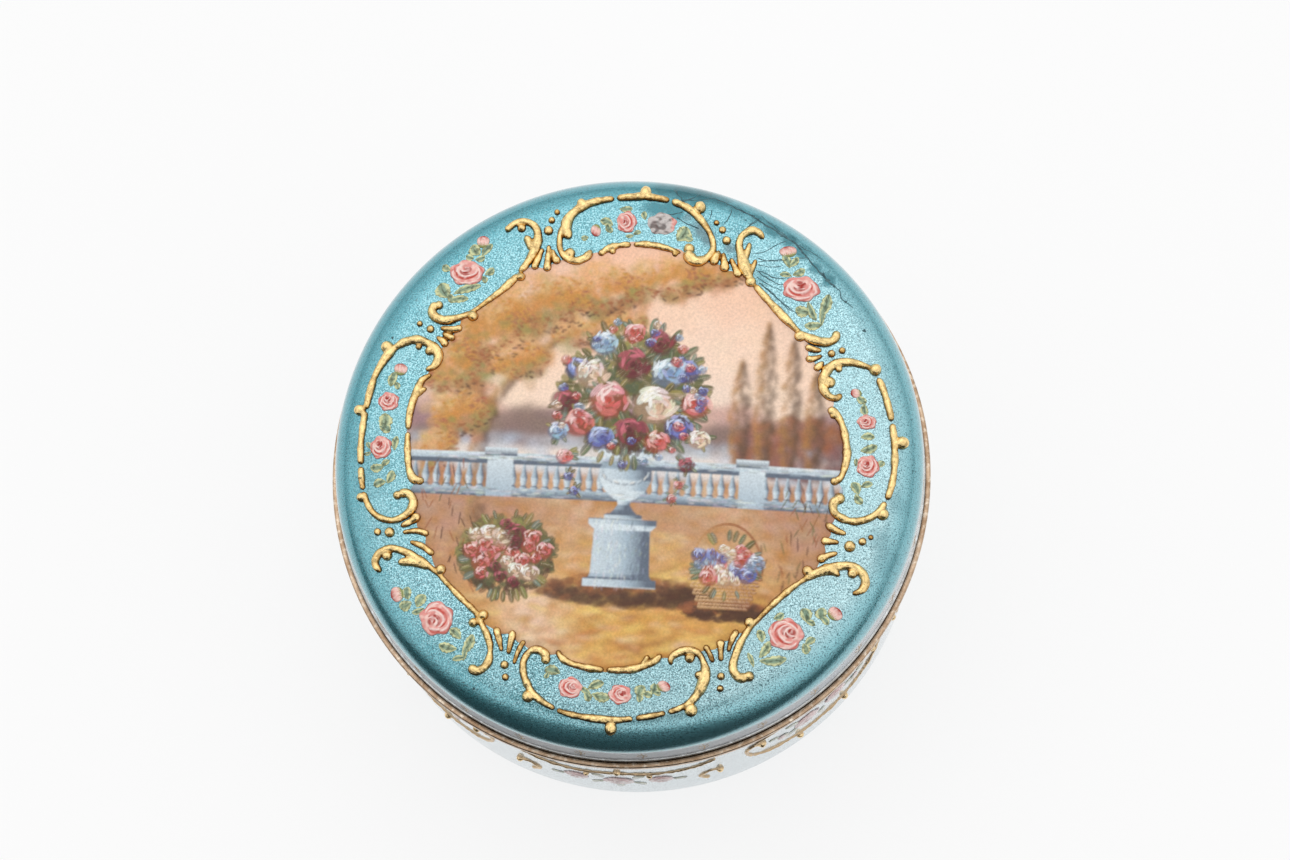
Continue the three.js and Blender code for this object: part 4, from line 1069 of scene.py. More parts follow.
def rose_patch(x, y, width, height, heart, grey=0.0):
    """A cabbage rose painted wet: a pale cup with a red heart, loose outer petals and thin red edges."""
    radius, angle, faces = disc_grid(34, 84)
    phase = chance.uniform(0, 2 * math.pi, 4)
    lobes = 1 + 0.055 * np.cos(5 * angle + phase[0]) + 0.035 * np.cos(8 * angle + phase[1])
    across = radius * lobes * np.cos(angle)
    along = radius * lobes * np.sin(angle)
    inward, sideways = turned_to(across, along, math.radians(heart))
    brushed = streaks(inward * 2.6, sideways * 4.2, phase[2])
    broken = np.clip(1.0 + 1.6 * brushed, 0.35, 1)
    colour = blend_colour(0.35 + 1.3 * brushed, ROSE_PINK, ROSE_PALE)
    cup = smooth_step(0.66 - np.hypot(inward - 0.14, sideways * 0.95), 0.0, 0.14)
    colour = blend_colour(cup * (0.35 + 0.9 * brushed), colour, (0.94, 0.68, 0.61))
    lift = ROSE_DOME * np.sqrt(unit(1 - radius ** 2.4)) + PAINT
    lift = lift + 0.05 * cup + 0.03 * brushed * (radius < 0.97)
    for shift, side, size, wide, way, strength in PETALS:
        way = way + chance.uniform(-0.25, 0.25)
        place = (shift + chance.uniform(-0.04, 0.04), side + chance.uniform(-0.05, 0.05))
        pale = crescent(inward, sideways, place, size - 0.08, wide, way)
        red = crescent(inward, sideways, place, size + 0.02, wide * 0.9, way)
        colour = blend_colour(pale * 0.85, colour, (0.96, 0.76, 0.71))
        colour = blend_colour(red * strength * broken, colour, ROSE_DEEP if size > 0.5 else ROSE_RED)
        lift = lift + 0.04 * pale - 0.02 * red
    off = np.hypot(inward - 0.42, sideways * 0.8)
    dark = (1 - smooth_step(off, 0.1, 0.24)) * unit(0.7 + 2 * brushed)
    colour = blend_colour(dark * 0.9, colour, ROSE_RED)
    below = 0.75 * smooth_step(across - along, -0.9, -0.1) * (grey < 0.5)
    shade = smooth_step(radius, 0.91, 1.0) * (0.15 + below)
    colour = blend_colour(shade * 0.8, colour, ROSE_SHADE)
    worn = grey * smooth_step(0.8 - across, 0.0, 0.25)
    mottle = smooth_step(streaks(across * 2.4, along * 3.0, phase[1]), -0.35, 0.15)
    colour = blend_colour(worn, colour, blend_colour(mottle, (0.12, 0.13, 0.125), (0.6, 0.58, 0.56)))
    return x + across * width / 2, y + along * height / 2, lift, colour, faces


def bud_patch(x, y, width, height, tip):
    """A closed bud, pale at its sepals and red at its tip."""
    radius, angle, faces = disc_grid(16, 36)
    across, along = radius * np.cos(angle), radius * np.sin(angle)
    outward, sideways = turned_to(across, along, math.radians(tip))
    pinch = 1 - 0.25 * smooth_step(outward, 0.2, 1)
    colour = blend_colour(smooth_step(outward, -0.2, 0.85), ROSE_PALE, ROSE_RED)
    petal = 1 - smooth_step(np.abs(np.abs(sideways) - 0.34 - 0.2 * outward), 0.02, 0.1)
    colour = blend_colour(petal * 0.35, colour, ROSE_DEEP)
    brushed = streaks(outward * 2.0, sideways * 4.0, x)
    colour = blend_colour(smooth_step(brushed, 0.0, 0.35) * 0.6, colour, (0.95, 0.72, 0.66))
    colour = blend_colour(smooth_step(outward, 0.45, 0.75) * 0.8, colour, ROSE_RED)
    sepal = 1 - smooth_step(outward + 0.42 * np.abs(np.cos(4.5 * sideways * math.pi)) - 0.1, -0.42, -0.32)
    colour = blend_colour(sepal, colour, (0.3, 0.33, 0.11))
    colour = blend_colour(smooth_step(radius, 0.88, 1.0) * 0.6, colour, ROSE_SHADE)
    lift = BUD_DOME * np.sqrt(unit(1 - radius ** 2.2)) + PAINT
    return x + across * pinch * width / 2, y + along * pinch * height / 2, lift, colour, faces


def leaf_patch(x, y, length, width, tip):
    """A pointed leaf with a dark outline, a midrib and side veins."""
    steps, spans = 26, 12
    t = np.repeat(np.linspace(-1, 1, steps + 1), spans + 1)
    s = np.tile(np.linspace(-1, 1, spans + 1), steps + 1)
    half = np.maximum(1 - t ** 2, 0.01) ** 0.75 * (1 + 0.25 * t) * (1 + 0.07 * np.cos(14 * t))
    bend = 0.16 * chance.choice((-1, 1)) * (1 - t ** 2)
    turn = math.radians(tip)
    along = t * length * 0.58
    across = s * half * width * 0.62 + bend * width
    rib = 1 - smooth_step(np.abs(s), 0.05, 0.17)
    veins = 1 - smooth_step(np.abs(((t - 0.5 * np.abs(s)) * 4) % 1 - 0.5), 0.06, 0.16)
    fresh = blend_colour(np.full(len(t), chance.uniform(0, 1)), (0.3, 0.4, 0.25), (0.46, 0.52, 0.28))
    hollow = smooth_step(0.55 - np.abs(s), 0.0, 0.3) * smooth_step(0.8 - np.abs(t), 0.0, 0.3)
    colour = blend_colour(0.4 * hollow, fresh, (0.15, 0.3, 0.27))
    colour = blend_colour(0.9 * smooth_step(np.abs(s), 0.38, 0.62), colour, LEAF_PALE)
    brushed = streaks(along * 2.4, across * 4.5, chance.uniform(0, 9))
    broken = unit(0.6 + 2 * brushed)
    colour = blend_colour(0.65 * veins * broken, colour, LEAF_DARK)
    colour = blend_colour(0.6 * smooth_step(brushed, 0.14, 0.3), colour, LEAF_DARK)
    low_side = chance.choice((-1, 1))
    outline = smooth_step(s * low_side, 0.8, 0.95) + 0.4 * smooth_step(-s * low_side, 0.9, 1.0)
    lines = np.maximum(rib * 0.85, outline * 0.85) * unit(0.8 + brushed)
    colour = blend_colour(lines, colour, LEAF_DARK)
    lift = PAINT + LEAF_RISE * (1 - s ** 2) * unit(half * 1.6) - 0.03 * rib
    flat_x = x + along * math.cos(turn) - across * math.sin(turn)
    flat_y = y + along * math.sin(turn) + across * math.cos(turn)
    row = spans + 1
    faces = []
    for i in range(steps):
        for k in range(spans):
            a = i * row + k
            faces.append((a, a + row, a + row + 1, a + 1))
    return flat_x, flat_y, lift, colour, faces


WALL_REFLECTION_SHARE = 0.45  # how far the wall's flowers are washed pale by a painted reflection of the white floor
REFLECTED_WHITE = (0.86, 0.87, 0.9)


def flower_spray(name, body, spray, place):
    """Leaves, buds and roses in one piece, the leaves lowest."""
    patches = [leaf_patch(*leaf) for leaf in spray["leaves"]]
    patches += [bud_patch(*bud) for bud in spray.get("buds", [])]
    patches += [rose_patch(*rose) for rose in spray["roses"]]
    patches += [rose_patch(*rose, grey=0.9) for rose in spray.get("worn", [])]
    piece = make_mesh(name, *stacked((place(x, y, lift), faces) for x, y, lift, _, faces in patches))
    # on the base's wall the flowers are washed pale by a painted reflection
    reflected_share = 0.0 if body == "lid" else WALL_REFLECTION_SHARE
    colours = np.vstack([patch[3] for patch in patches]) * (1 - reflected_share) + np.array(REFLECTED_WHITE) * reflected_share
    paint_points(piece, "paint", unit(colours))
    settle(piece, body, flower_paint if body == "lid" else wall_paint)


# Thin marks that lie on a surface

def ribbon_mesh(name, lines, place, lift, material):
    """Flat lines of [x, y, width] on the lid, each an open low ridge."""
    parts = []
    for line in lines:
        path, along = sampled(line, 0.25)
        way = heading(path)
        width = path[:, 2] * wobble(along, 0.35, 0.5)
        shift = wobble(along, 0.09, 0.4) - 1
        sides = []
        for share, up in ((-0.5, 0.0), (0.0, lift), (0.5, 0.0)):
            x = path[:, 0] - way[:, 1] * (share * width + shift)
            y = path[:, 1] + way[:, 0] * (share * width + shift)
            sides.append(place(x, y, np.full(len(x), up)))
        faces = []
        for a in range(0, 3 * len(path) - 3, 3):
            faces.append((a, a + 1, a + 4, a + 3))
            faces.append((a + 1, a + 2, a + 5, a + 4))
        parts.append((np.stack(sides, 1).reshape(-1, 3), faces))
    settle(make_mesh(name, *stacked(parts)), "lid", material)


def patch_mesh(name, spots, lift, material):
    """Uneven flat spots of [x, y, width, height] on the lid's top."""
    parts = []
    for x, y, width, height in spots:
        radius, angle, faces = disc_grid(6, 40)
        phase = chance.uniform(0, 2 * math.pi, 3)
        edge = 1 + 0.22 * np.sin(3 * angle + phase[0]) + 0.13 * np.sin(5 * angle + phase[1])
        edge += 0.09 * np.sin(11 * angle + phase[2])
        flat_x = x + radius * edge * np.cos(angle) * width / 2
        flat_y = y + radius * edge * np.sin(angle) * height / 2
        parts.append((on_lid(flat_x, flat_y, lift * (1 - radius ** 4)), faces))
    settle(make_mesh(name, *stacked(parts)), "lid", material)


# Painting in the middle of the lid: a garden with an urn of flowers, brushed in dab by dab

CANVAS_CELLS = 600
CANVAS_REACH = 28.0  # half of the canvas's width

picks = np.random.default_rng(7)
some = picks.uniform
UPRIGHT = 1.57
cells = np.linspace(-CANVAS_REACH, CANVAS_REACH, CANVAS_CELLS)
across_canvas, up_canvas = np.meshgrid(cells, cells)
canvas = np.zeros((CANVAS_CELLS, CANVAS_CELLS, 3))
body_colour = np.zeros((CANVAS_CELLS, CANVAS_CELLS))

LIGHT_SKY = (0.96, 0.69, 0.53)
PEACH = (0.93, 0.56, 0.38)
CREAM = (0.97, 0.76, 0.6)
MAUVE = (0.33, 0.19, 0.21)
OCHRE = (0.56, 0.27, 0.06)
TAN = (0.7, 0.4, 0.16)
UMBER = (0.085, 0.033, 0.016)
RUSSET = (0.33, 0.11, 0.038)
AMBER = (0.6, 0.27, 0.055)
OLIVE = (0.15, 0.13, 0.04)
MOSS = (0.3, 0.26, 0.08)
STONE = (0.4, 0.5, 0.58)
STONE_DARK = (0.12, 0.15, 0.2)
STONE_LIGHT = (0.7, 0.78, 0.82)
MAROON = (0.23, 0.02, 0.035)
PERIWINKLE = (0.16, 0.21, 0.6)
PALE_BLUE = (0.44, 0.6, 0.76)
BLOSSOM = (0.86, 0.29, 0.31)
WHITE = (0.9, 0.87, 0.8)


def window(low_x, high_x, low_y, high_y):
    """The part of the canvas between these places."""
    places = (np.array([low_y, high_y, low_x, high_x]) + CANVAS_REACH) / (2 * CANVAS_REACH)
    a, b, c, d = np.clip(places * (CANVAS_CELLS - 1), 0, CANVAS_CELLS - 1).astype(int)
    return slice(a, b + 2), slice(c, d + 2)


def dab(x, y, length, width, angle, colour, strength=0.9):
    """One mark of the brush, with its bristles."""
    reach = length / 2 + 0.1
    part = window(x - reach, x + reach, y - reach, y + reach)
    dx, dy = across_canvas[part] - x, up_canvas[part] - y
    a = dx * math.cos(angle) + dy * math.sin(angle)
    b = dy * math.cos(angle) - dx * math.sin(angle)
    inside = 1 - (2 * a / length) ** 2 - (2 * b / width) ** 2
    cover = strength * unit(inside * 2.4)
    cover *= 0.82 + 0.18 * np.sin(b * 26 + some(0, 6))
    canvas[part] += cover[..., None] * (np.asarray(colour) - canvas[part])
    body_colour[part] += cover * (0.35 * unit(inside) - 0.12 * body_colour[part])


def one_of(options):
    return options[picks.integers(len(options))]


def jitter(colour, amount=0.12):
    return unit(np.asarray(colour) * some(1 - amount, 1 + amount, 3))


def round_place(x, y, turn, reach, squash=1.0):
    """The place at a distance and in a direction, on a circle that may be flattened."""
    return x + reach * math.cos(turn), y + squash * reach * math.sin(turn)


def fleck(x, y, lengths, widths, ways, tone, strength, uneven=0.12, way=0.0):
    """A dab whose length, width and direction lie between two limits each."""
    dab(x, y, some(*lengths), some(*widths), way + some(*ways), jitter(tone, uneven), strength)


def scatter(count, x, y, width, height, size, palette, angle=None, strength=0.9, lit=0.55):
    """Fills an oval with dabs, lighter towards the upper left."""
    for _ in range(count):
        reach, turn = math.sqrt(some()), some(0, 2 * math.pi)
        u, v = round_place(0, 0, turn, reach)
        light = 0.5 + 0.5 * (lit * (v - 0.6 * u) + (1 - lit) * some(-1, 1))
        tone = palette[int(np.clip(light * len(palette), 0, len(palette) - 1))]
        long = size * some(0.7, 1.5)
        way = some(0, math.pi) if angle is None else angle + some(-0.4, 0.4)
        dab(x + u * width / 2, y + v * height / 2, long, long * 0.55, way, jitter(tone), strength)


def turned_stone(x, y, scale, profile):
    """A round stone piece seen from the side. Its profile is [height, half width]."""
    heights, halves = np.array(profile).T * scale
    reach = halves.max()
    part = window(x - reach, x + reach, y + heights[0], y + heights[-1])
    height = up_canvas[part] - y
    half = np.interp(height, heights, halves, left=0, right=0)
    side = (across_canvas[part] - x) / np.maximum(half, 1e-6)
    cover = unit((1 - np.abs(side)) * half / 0.08)
    light = unit(0.62 - 0.55 * side - 0.35 * side ** 2)[..., None]
    slope = np.gradient(half, axis=0) * 8
    light = unit(light + slope[..., None])
    bright, dark = mixed(STONE, STONE_LIGHT, light * 2 - 1), mixed(STONE_DARK, STONE, light * 2)
    canvas[part] += cover[..., None] * (np.where(light > 0.5, bright, dark) - canvas[part])
    body_colour[part] += cover * (0.3 - 0.3 * body_colour[part])


def stone_bar(x, y, width, height, tone, dark):
    part = window(x - width / 2, x + width / 2, y - height / 2, y + height / 2)
    fall = (up_canvas[part] - y) / height + 0.5
    canvas[part] = mixed(dark, tone, unit(fall)[..., None])
    body_colour[part] = 0.25


def bloom(x, y, size, kind, strokes=24):
    """An open flower: curved strokes from the outside in, lit from the upper left."""
    inner, outer, edge = kind
    lean_x, lean_y = some(-0.12, 0.12, 2) * size
    squash = some(0.78, 0.96)
    dab(x - 0.04 * size, y - 0.08 * size, size * 1.06, size * 0.96, 0, mixed(inner, UMBER, 0.5), 0.8)
    for k in range(strokes):
        share = 1 - k / strokes
        turn = 2.4 * k + some(-0.6, 0.6)
        light = unit(0.5 + 0.4 * math.sin(turn) - 0.25 * math.cos(turn) + some(-0.2, 0.2))
        tone = mixed(mixed(inner, outer, 0.2 + 0.8 * share), edge, 0.65 * light * (0.4 + 0.6 * share))
        tone = mixed(tone, inner, 0.5 * (light < 0.25))
        long = size * some(0.28, 0.5) * (0.5 + 0.5 * share)
        way = turn + UPRIGHT + some(-0.45, 0.45)
        place = round_place(
            x + lean_x * (1 - share), y + lean_y * (1 - share), turn, size * 0.42 * share ** 0.8, squash)
        dab(*place, long, long * some(0.28, 0.5), way, jitter(tone, 0.12), 0.85)
    for _ in range(3 + int(size)):
        turn = some(1.2, 3.3)
        place = round_place(x, y, turn, size * some(0.12, 0.42), squash)
        dab(*place, size * 0.3, size * 0.08, turn + UPRIGHT + some(-0.4, 0.4), edge, 0.9)
    dab(x + lean_x, y + lean_y, size * 0.22, size * 0.15, some(0, 3), mixed(inner, UMBER, 0.25), 0.9)


def blade(x, y, length, width, angle, tone):
    """A pointed leaf with a lit side."""
    dab(x, y, length, width, angle, mixed(tone, UMBER, 0.4))
    dx, dy = -math.sin(angle) * 0.14 * width, math.cos(angle) * 0.14 * width
    dab(x + dx, y + dy, length * 0.9, width * 0.55, angle, jitter(tone))
    dab(x, y, length * 0.85, 0.12, angle, mixed(tone, CREAM, 0.45), 0.7)


def leaves_round(x, y, reach, count, size=1.3):
    for _ in range(count):
        turn = some(0, 2 * math.pi)
        tone = one_of((OLIVE, MOSS, (0.12, 0.16, 0.08), (0.2, 0.26, 0.2)))
        long = size * some(0.8, 1.4)
        blade(*round_place(x, y, turn, reach), long, long * 0.42, turn, tone)


def soften(steps):
    """Lets the wet paint run together."""
    for _ in range(steps):
        for axis in (0, 1):
            near = np.roll(canvas, 1, axis) + np.roll(canvas, -1, axis)
            canvas[:] = 0.5 * canvas + 0.25 * near
    body_colour[:] = 0


def paint_sky():
    canvas[:] = mixed(CREAM, PEACH, unit((up_canvas - 2) / 24)[..., None])
    for _ in range(1100):
        x, y = some(-28, 28), some(2, 28)
        tone = mixed(CREAM, PEACH, unit((y - 2) / 24))
        cold = max(0.0, math.sin(x * 0.16 + 0.6) * math.sin(y * 0.22 + 0.4))
        tone = mixed(tone, (0.6, 0.66, 0.72), 0.55 * cold)
        fleck(x, y, (1.5, 4.5), (0.5, 1.2), (-0.3, 0.5), tone, 0.5, 0.06)
    for _ in range(420):
        x, y = picks.normal(7, 7), picks.normal(13, 3.6)
        tone = mixed(CREAM, LIGHT_SKY, some(0, 0.8))
        fleck(x, y, (1.0, 3.0), (0.4, 0.9), (-0.2, 0.4), tone, 0.45, 0.05)
    soften(60)


def paint_distance():
    """Three rows of far trees and a lake."""
    rows = ((5.6, (0.6, 0.36, 0.3)), (4.4, MAUVE), (3.2, (0.24, 0.16, 0.13)))
    for row, (level, tone) in enumerate(rows):
        for x in np.arange(-27, 27, 0.35):
            top = level + 1.5 * math.sin(x * 0.21 + row * 2) + 0.8 * math.sin(x * 0.53 + row)
            for y in np.arange(0.5, top, 0.55):
                dab(x + some(-0.2, 0.2), y, 1.5, 0.7, some(-0.3, 0.5), jitter(tone, 0.1), 0.6)
    for _ in range(900):
        x, y = some(-27, 27), some(-4.5, 1.6)
        tone = mixed(PALE_BLUE, LIGHT_SKY, some(0, 1) * (0.4 + 0.12 * y))
        fleck(x, y, (1.0, 3.4), (0.2, 0.5), (-0.06, 0.06), tone, 0.7, 0.08)
    soften(14)


def paint_ground():
    """Sandy ground with a pale path, stripes of sun and a few curling lines of growth."""
    canvas[cells < -3.2] = (0.5, 0.22, 0.05)
    for _ in range(5200):
        x, y = some(-28, 28), some(-28, -3.4)
        low = unit((-y - 9) / 9)
        path = math.exp(-((x + 11 + 0.35 * (y + 20)) / 4.2) ** 2) * low
        tone = mixed((0.56, 0.33, 0.21), (0.7, 0.46, 0.3), 0.5 + 0.5 * math.sin(x * 0.33 + y * 0.41))
        tone = mixed(tone, (0.76, 0.42, 0.1), 0.95 * low)
        tone = mixed(tone, CREAM, 0.85 * path)
        tone = mixed(tone, (0.45, 0.25, 0.2), 0.7 * unit((abs(x - 1) - 12 - 4 * low) / 8))
        fleck(x, y, (0.7, 2.2), (0.3, 0.7), (-0.25, 0.35), tone, 0.7)
    soften(14)
    tones = (TAN, (0.86, 0.56, 0.14), OCHRE, RUSSET, CREAM, (0.92, 0.7, 0.28), (0.7, 0.34, 0.04))
    for _ in range(1000):
        x, y = picks.normal(2, 10), some(-26, -10)
        fleck(x, y, (0.8, 3.0), (0.14, 0.4), (-0.2, 0.35), one_of(tones), 0.5)
    tones = ((0.93, 0.7, 0.22), (0.9, 0.62, 0.16), (0.3, 0.11, 0.03), (0.6, 0.2, 0.06))
    for _ in range(90):
        x, y, way = picks.normal(0, 9), some(-27, -15), some(-0.15, 0.3)
        tone = one_of(tones)
        for _ in range(picks.integers(3, 10)):
            dab(x, y, 1.1, 0.42, way, jitter(tone, 0.05), 0.6)
            x, y = round_place(x, y, way, 0.6)
            way = 0.7 * way + some(-0.4, 0.4)


BALUSTER = [
    [0, 0.42], [0.35, 0.42], [0.4, 0.28], [0.7, 0.34], [1.3, 0.44], [1.9, 0.3], [2.5, 0.16], [2.9, 0.18],
    [3.0, 0.3], [3.3, 0.36],
]
URN = [
    [0, 2.1], [0.5, 2.1], [0.6, 1.5], [1.0, 1.1], [1.6, 0.7], [2.1, 0.8], [2.3, 1.3], [3.2, 2.3], [4.4, 2.9],
    [5.6, 2.9], [6.4, 2.4], [6.9, 2.3], [7.1, 2.9], [7.6, 3.4], [7.9, 3.4],
]
PLINTH = [
    [0, 4.2], [0.9, 4.2], [1.0, 3.6], [1.5, 3.4], [6.6, 3.2], [6.8, 3.5], [7.2, 3.9], [7.9, 3.9],
]
RAIL, RAIL_FOOT = -1.35, -5.8  # heights of the balustrade's bars


def paint_stonework():
    """A balustrade, and an urn on its plinth in front of it."""
    for x in np.arange(-26, 27, 1.35):
        turned_stone(x, -5.4, 1.15, BALUSTER)
    for x, y, width, height, tone, dark in (
        (0, RAIL, 56, 0.9, STONE_LIGHT, STONE), (0, -1.95, 56, 0.35, STONE_DARK, STONE_DARK),
        (0, RAIL_FOOT, 56, 0.9, STONE, STONE_DARK),
        (-15.5, -3.6, 3.0, 5.4, STONE_LIGHT, STONE), (-15.5, -0.7, 3.8, 0.8, STONE_LIGHT, STONE_DARK),
        (15.5, -3.6, 3.0, 5.4, STONE_LIGHT, STONE), (15.5, -0.7, 3.8, 0.8, STONE_LIGHT, STONE_DARK),
    ):
        stone_bar(x, y, width, height, tone, dark)
    scatter(420, 0.8, -17.6, 21, 3.6, 1.6, [UMBER, UMBER, RUSSET], angle=0.0, strength=0.4)
    turned_stone(0, -17.0, 1.08, PLINTH)
    turned_stone(0, -8.5, 1.12, URN)
    for k in range(9):
        turn = math.pi * (k + 0.5) / 9
        x, y = -2.9 * math.cos(turn), -2.6 - 1.5 * math.sin(turn)
        dab(x, y, 0.95, 0.42, turn - UPRIGHT, STONE_DARK, 0.7)
        dab(x - 0.1, y + 0.12, 0.8, 0.24, turn - UPRIGHT, (STONE_LIGHT, WHITE)[k % 2], 0.85)
    mossy = mixed(STONE, MOSS, 0.6)
    for k in range(11):
        dab(-3.1 + 0.62 * k, -10.6 - 2.2 * abs(math.sin(k * 0.9)), 0.6, 0.18, 1.2, mossy, 0.5)
    tones = (STONE_LIGHT, WHITE, STONE, STONE_DARK, mossy, mixed(STONE, BLOSSOM, 0.25))
    for _ in range(420):
        x, y = some(-25, 25), one_of((RAIL, RAIL_FOOT)) + some(-0.5, 0.5)
        fleck(x, y, (0.6, 2.0), (0.12, 0.3), (-0.08, 0.08), one_of(tones), 0.5)
    for _ in range(260):
        x, y = some(-4, 4), some(-17, -8.5)
        tone = one_of((STONE_LIGHT, WHITE, STONE, STONE) if x < 0.8 else (STONE, STONE_DARK))
        fleck(x, y, (0.5, 1.4), (0.12, 0.3), (-0.3, 0.3), tone, 0.35 * (abs(x) < 3.5), way=UPRIGHT)
    soften(1)


def paint_trees():
    """Cypresses at the right, and a leaning tree whose crown fills the upper left."""
    hedge = [(0.14, 0.06, 0.06), (0.24, 0.1, 0.09), RUSSET, (0.42, 0.2, 0.14)]
    scatter(420, 21, 1.5, 16, 8, 1.5, hedge, strength=0.6)
    for x, top in ((13.6, 12.5), (16.6, 17.5), (19.8, 15.5), (22.8, 11.5)):
        for y in np.arange(-1.5, top, 0.26):
            half = 1.35 * math.sin(math.pi * min((y + 3.2) / (top + 3.4), 1)) ** 0.7
            for _ in range(5):
                u = some(-1, 1)
                tone = mixed((0.1, 0.055, 0.03), AMBER, unit(0.18 - 0.6 * u + some(-0.25, 0.25)))
                dab(x + u * half, y, some(0.5, 1.0), 0.32, 1.3 + 0.3 * u, jitter(tone), 0.85)
    trunk = [[-19.5, -12.5, 3.4], [-18.2, -6, 2.6], [-18.4, 0, 2.2], [-16.6, 6, 1.8], [-13, 11, 1.4],
             [-8, 15, 1.0], [-2, 18, 0.6]]
    limb = [[-16.8, 4, 1.3], [-20, 9, 1.0], [-22.5, 13, 0.7]]
    for line in (trunk, limb):
        for x, y, wide in sampled(line, 0.3)[0]:
            for _ in range(3):
                u = some(-0.5, 0.5)
                tone = mixed(UMBER, TAN, unit(0.35 - 0.9 * u + some(-0.2, 0.2)))
                dab(x + u * wide, y, 1.2, 0.35, 1.45 + some(-0.3, 0.3), jitter(tone))
    soften(2)
    palette = [RUSSET, (0.42, 0.17, 0.06), (0.52, 0.24, 0.1), MOSS, AMBER, AMBER, TAN, (0.8, 0.44, 0.2),
               (0.9, 0.57, 0.38)]
    edges = (UMBER, RUSSET, (0.42, 0.15, 0.07), AMBER, TAN)
    clumps = (
        (-21, 4, 7, 6), (-22, 10, 9, 7), (-18, 15, 11, 8), (-11, 18.5, 11, 7), (-14, 11, 7, 4.5),
        (-4, 20.5, 10, 6), (-7, 14.8, 6, 3), (4, 22.5, 9, 5), (10, 24, 8, 4), (-23.5, -1, 5, 5),
        (-1, 16.6, 5, 2.2),
    )
    for x, y, width, height in clumps:
        count = int(width * height * 2)
        scatter(count, x, y, width * 1.15, height * 1.2, 2.4, palette[2:8], strength=0.45, lit=0.85)
    soften(8)
    for x, y, width, height in clumps:
        scatter(int(width * height * 2), x, y, width, height, 1.1, palette, strength=0.5, lit=0.8)
    soften(3)
    for x, y, width, height in clumps:
        for _ in range(int(width * height * 1.7)):
            turn, share = some(0, 2 * math.pi), some(0.25, 1.0) ** 0.6
            light = 0.6 * math.sin(turn) - 0.5 * math.cos(turn)
            tone = edges[int(np.clip(2.5 + 3 * light * share, 0, 4))]
            px, py = x + 0.55 * width * share * math.cos(turn), y + 0.55 * height * share * math.sin(turn)
            dab(px, py, some(0.45, 0.9), 0.32, some(-0.9, 0.6), jitter(tone), 0.75)


PEONY = (ROSE_DEEP, BLOSSOM, (0.98, 0.76, 0.72))
CREAM_ROSE = ((0.8, 0.52, 0.34), (0.9, 0.82, 0.7), (0.97, 0.95, 0.9))
DAHLIA = ((0.1, 0.008, 0.014), MAROON, (0.62, 0.16, 0.2))
IRIS = ((0.07, 0.08, 0.32), PERIWINKLE, (0.62, 0.7, 0.92))
LARKSPUR = ((0.2, 0.34, 0.56), PALE_BLUE, (0.86, 0.92, 0.96))
BOUQUET = (
    (-6.6, 10.6, 3.4, IRIS), (6.9, 10.9, 3.4, IRIS), (-3.6, 14.0, 3.4, LARKSPUR), (3.4, 14.3, 3.6, DAHLIA),
    (0.0, 15.4, 2.8, PEONY), (-8.0, 6.4, 3.6, DAHLIA), (8.2, 6.6, 3.8, PEONY), (-4.9, 10.0, 4.2, CREAM_ROSE),
    (4.6, 10.6, 4.4, LARKSPUR), (0.2, 11.4, 4.6, DAHLIA), (-6.0, 3.6, 3.8, PEONY), (6.2, 3.6, 3.6, IRIS),
    (-2.4, 6.8, 5.2, PEONY), (3.2, 6.4, 5.4, CREAM_ROSE), (0.2, 2.6, 4.4, DAHLIA), (-3.4, 1.8, 3.4, IRIS),
    (3.6, 1.6, 3.2, PEONY), (-8.6, 2.4, 2.6, LARKSPUR), (8.8, 2.2, 2.8, CREAM_ROSE),
    (-7.6, -0.8, 2.2, PEONY), (7.4, -1.2, 2.2, DAHLIA),
)


def heap(x, y, count, reach, squash, first, sizes, kinds):
    """Flowers packed in a spiral."""
    for k in range(count):
        place = round_place(x, y, 2.4 * k + first, math.sqrt((k + 0.5) / count) * reach, squash)
        bloom(*place, some(*sizes), kinds[k % len(kinds)], 14)


def paint_bouquet():
    """The urn's flowers, with small ones round them and a few that hang down."""
    scatter(700, 0, 7.6, 17, 15.5, 1.5, [UMBER, OLIVE, (0.1, 0.12, 0.05), MOSS], strength=0.8)
    for reach in (5.5, 7.6, 9.0):
        leaves_round(0, 7.6, reach, 26, 2.0)
    for x, y, size, kind in BOUQUET:
        leaves_round(x, y, size * 0.46, 5, 1.5)
        bloom(x, y, size, kind)
    for _ in range(46):
        x, y = round_place(0, 7.8, some(0, 2 * math.pi), some(6.5, 9.6), 0.98)
        kind = one_of((PEONY, IRIS, CREAM_ROSE, LARKSPUR))
        bloom(x, y, some(0.9, 1.6), kind, 9)
    for x, y, kind in ((-7.0, -3.4, IRIS), (6.6, -3.8, PEONY), (-6.2, -5.2, IRIS), (5.8, -5.6, PEONY)):
        leaves_round(x, y, 0.6, 5, 1.1)
        bloom(x, y, 1.3, kind, 9)


def paint_bed():
    """A round bed of flowers at the left."""
    scatter(560, -14, -13.6, 12, 9.5, 1.2, [UMBER, (0.1, 0.1, 0.04), OLIVE, MOSS], strength=0.75)
    leaves_round(-14, -13.6, 5.2, 40, 1.5)
    heap(-14, -13.2, 24, 4.9, 0.78, 0, (1.5, 2.9), (PEONY, PEONY, CREAM_ROSE, DAHLIA))


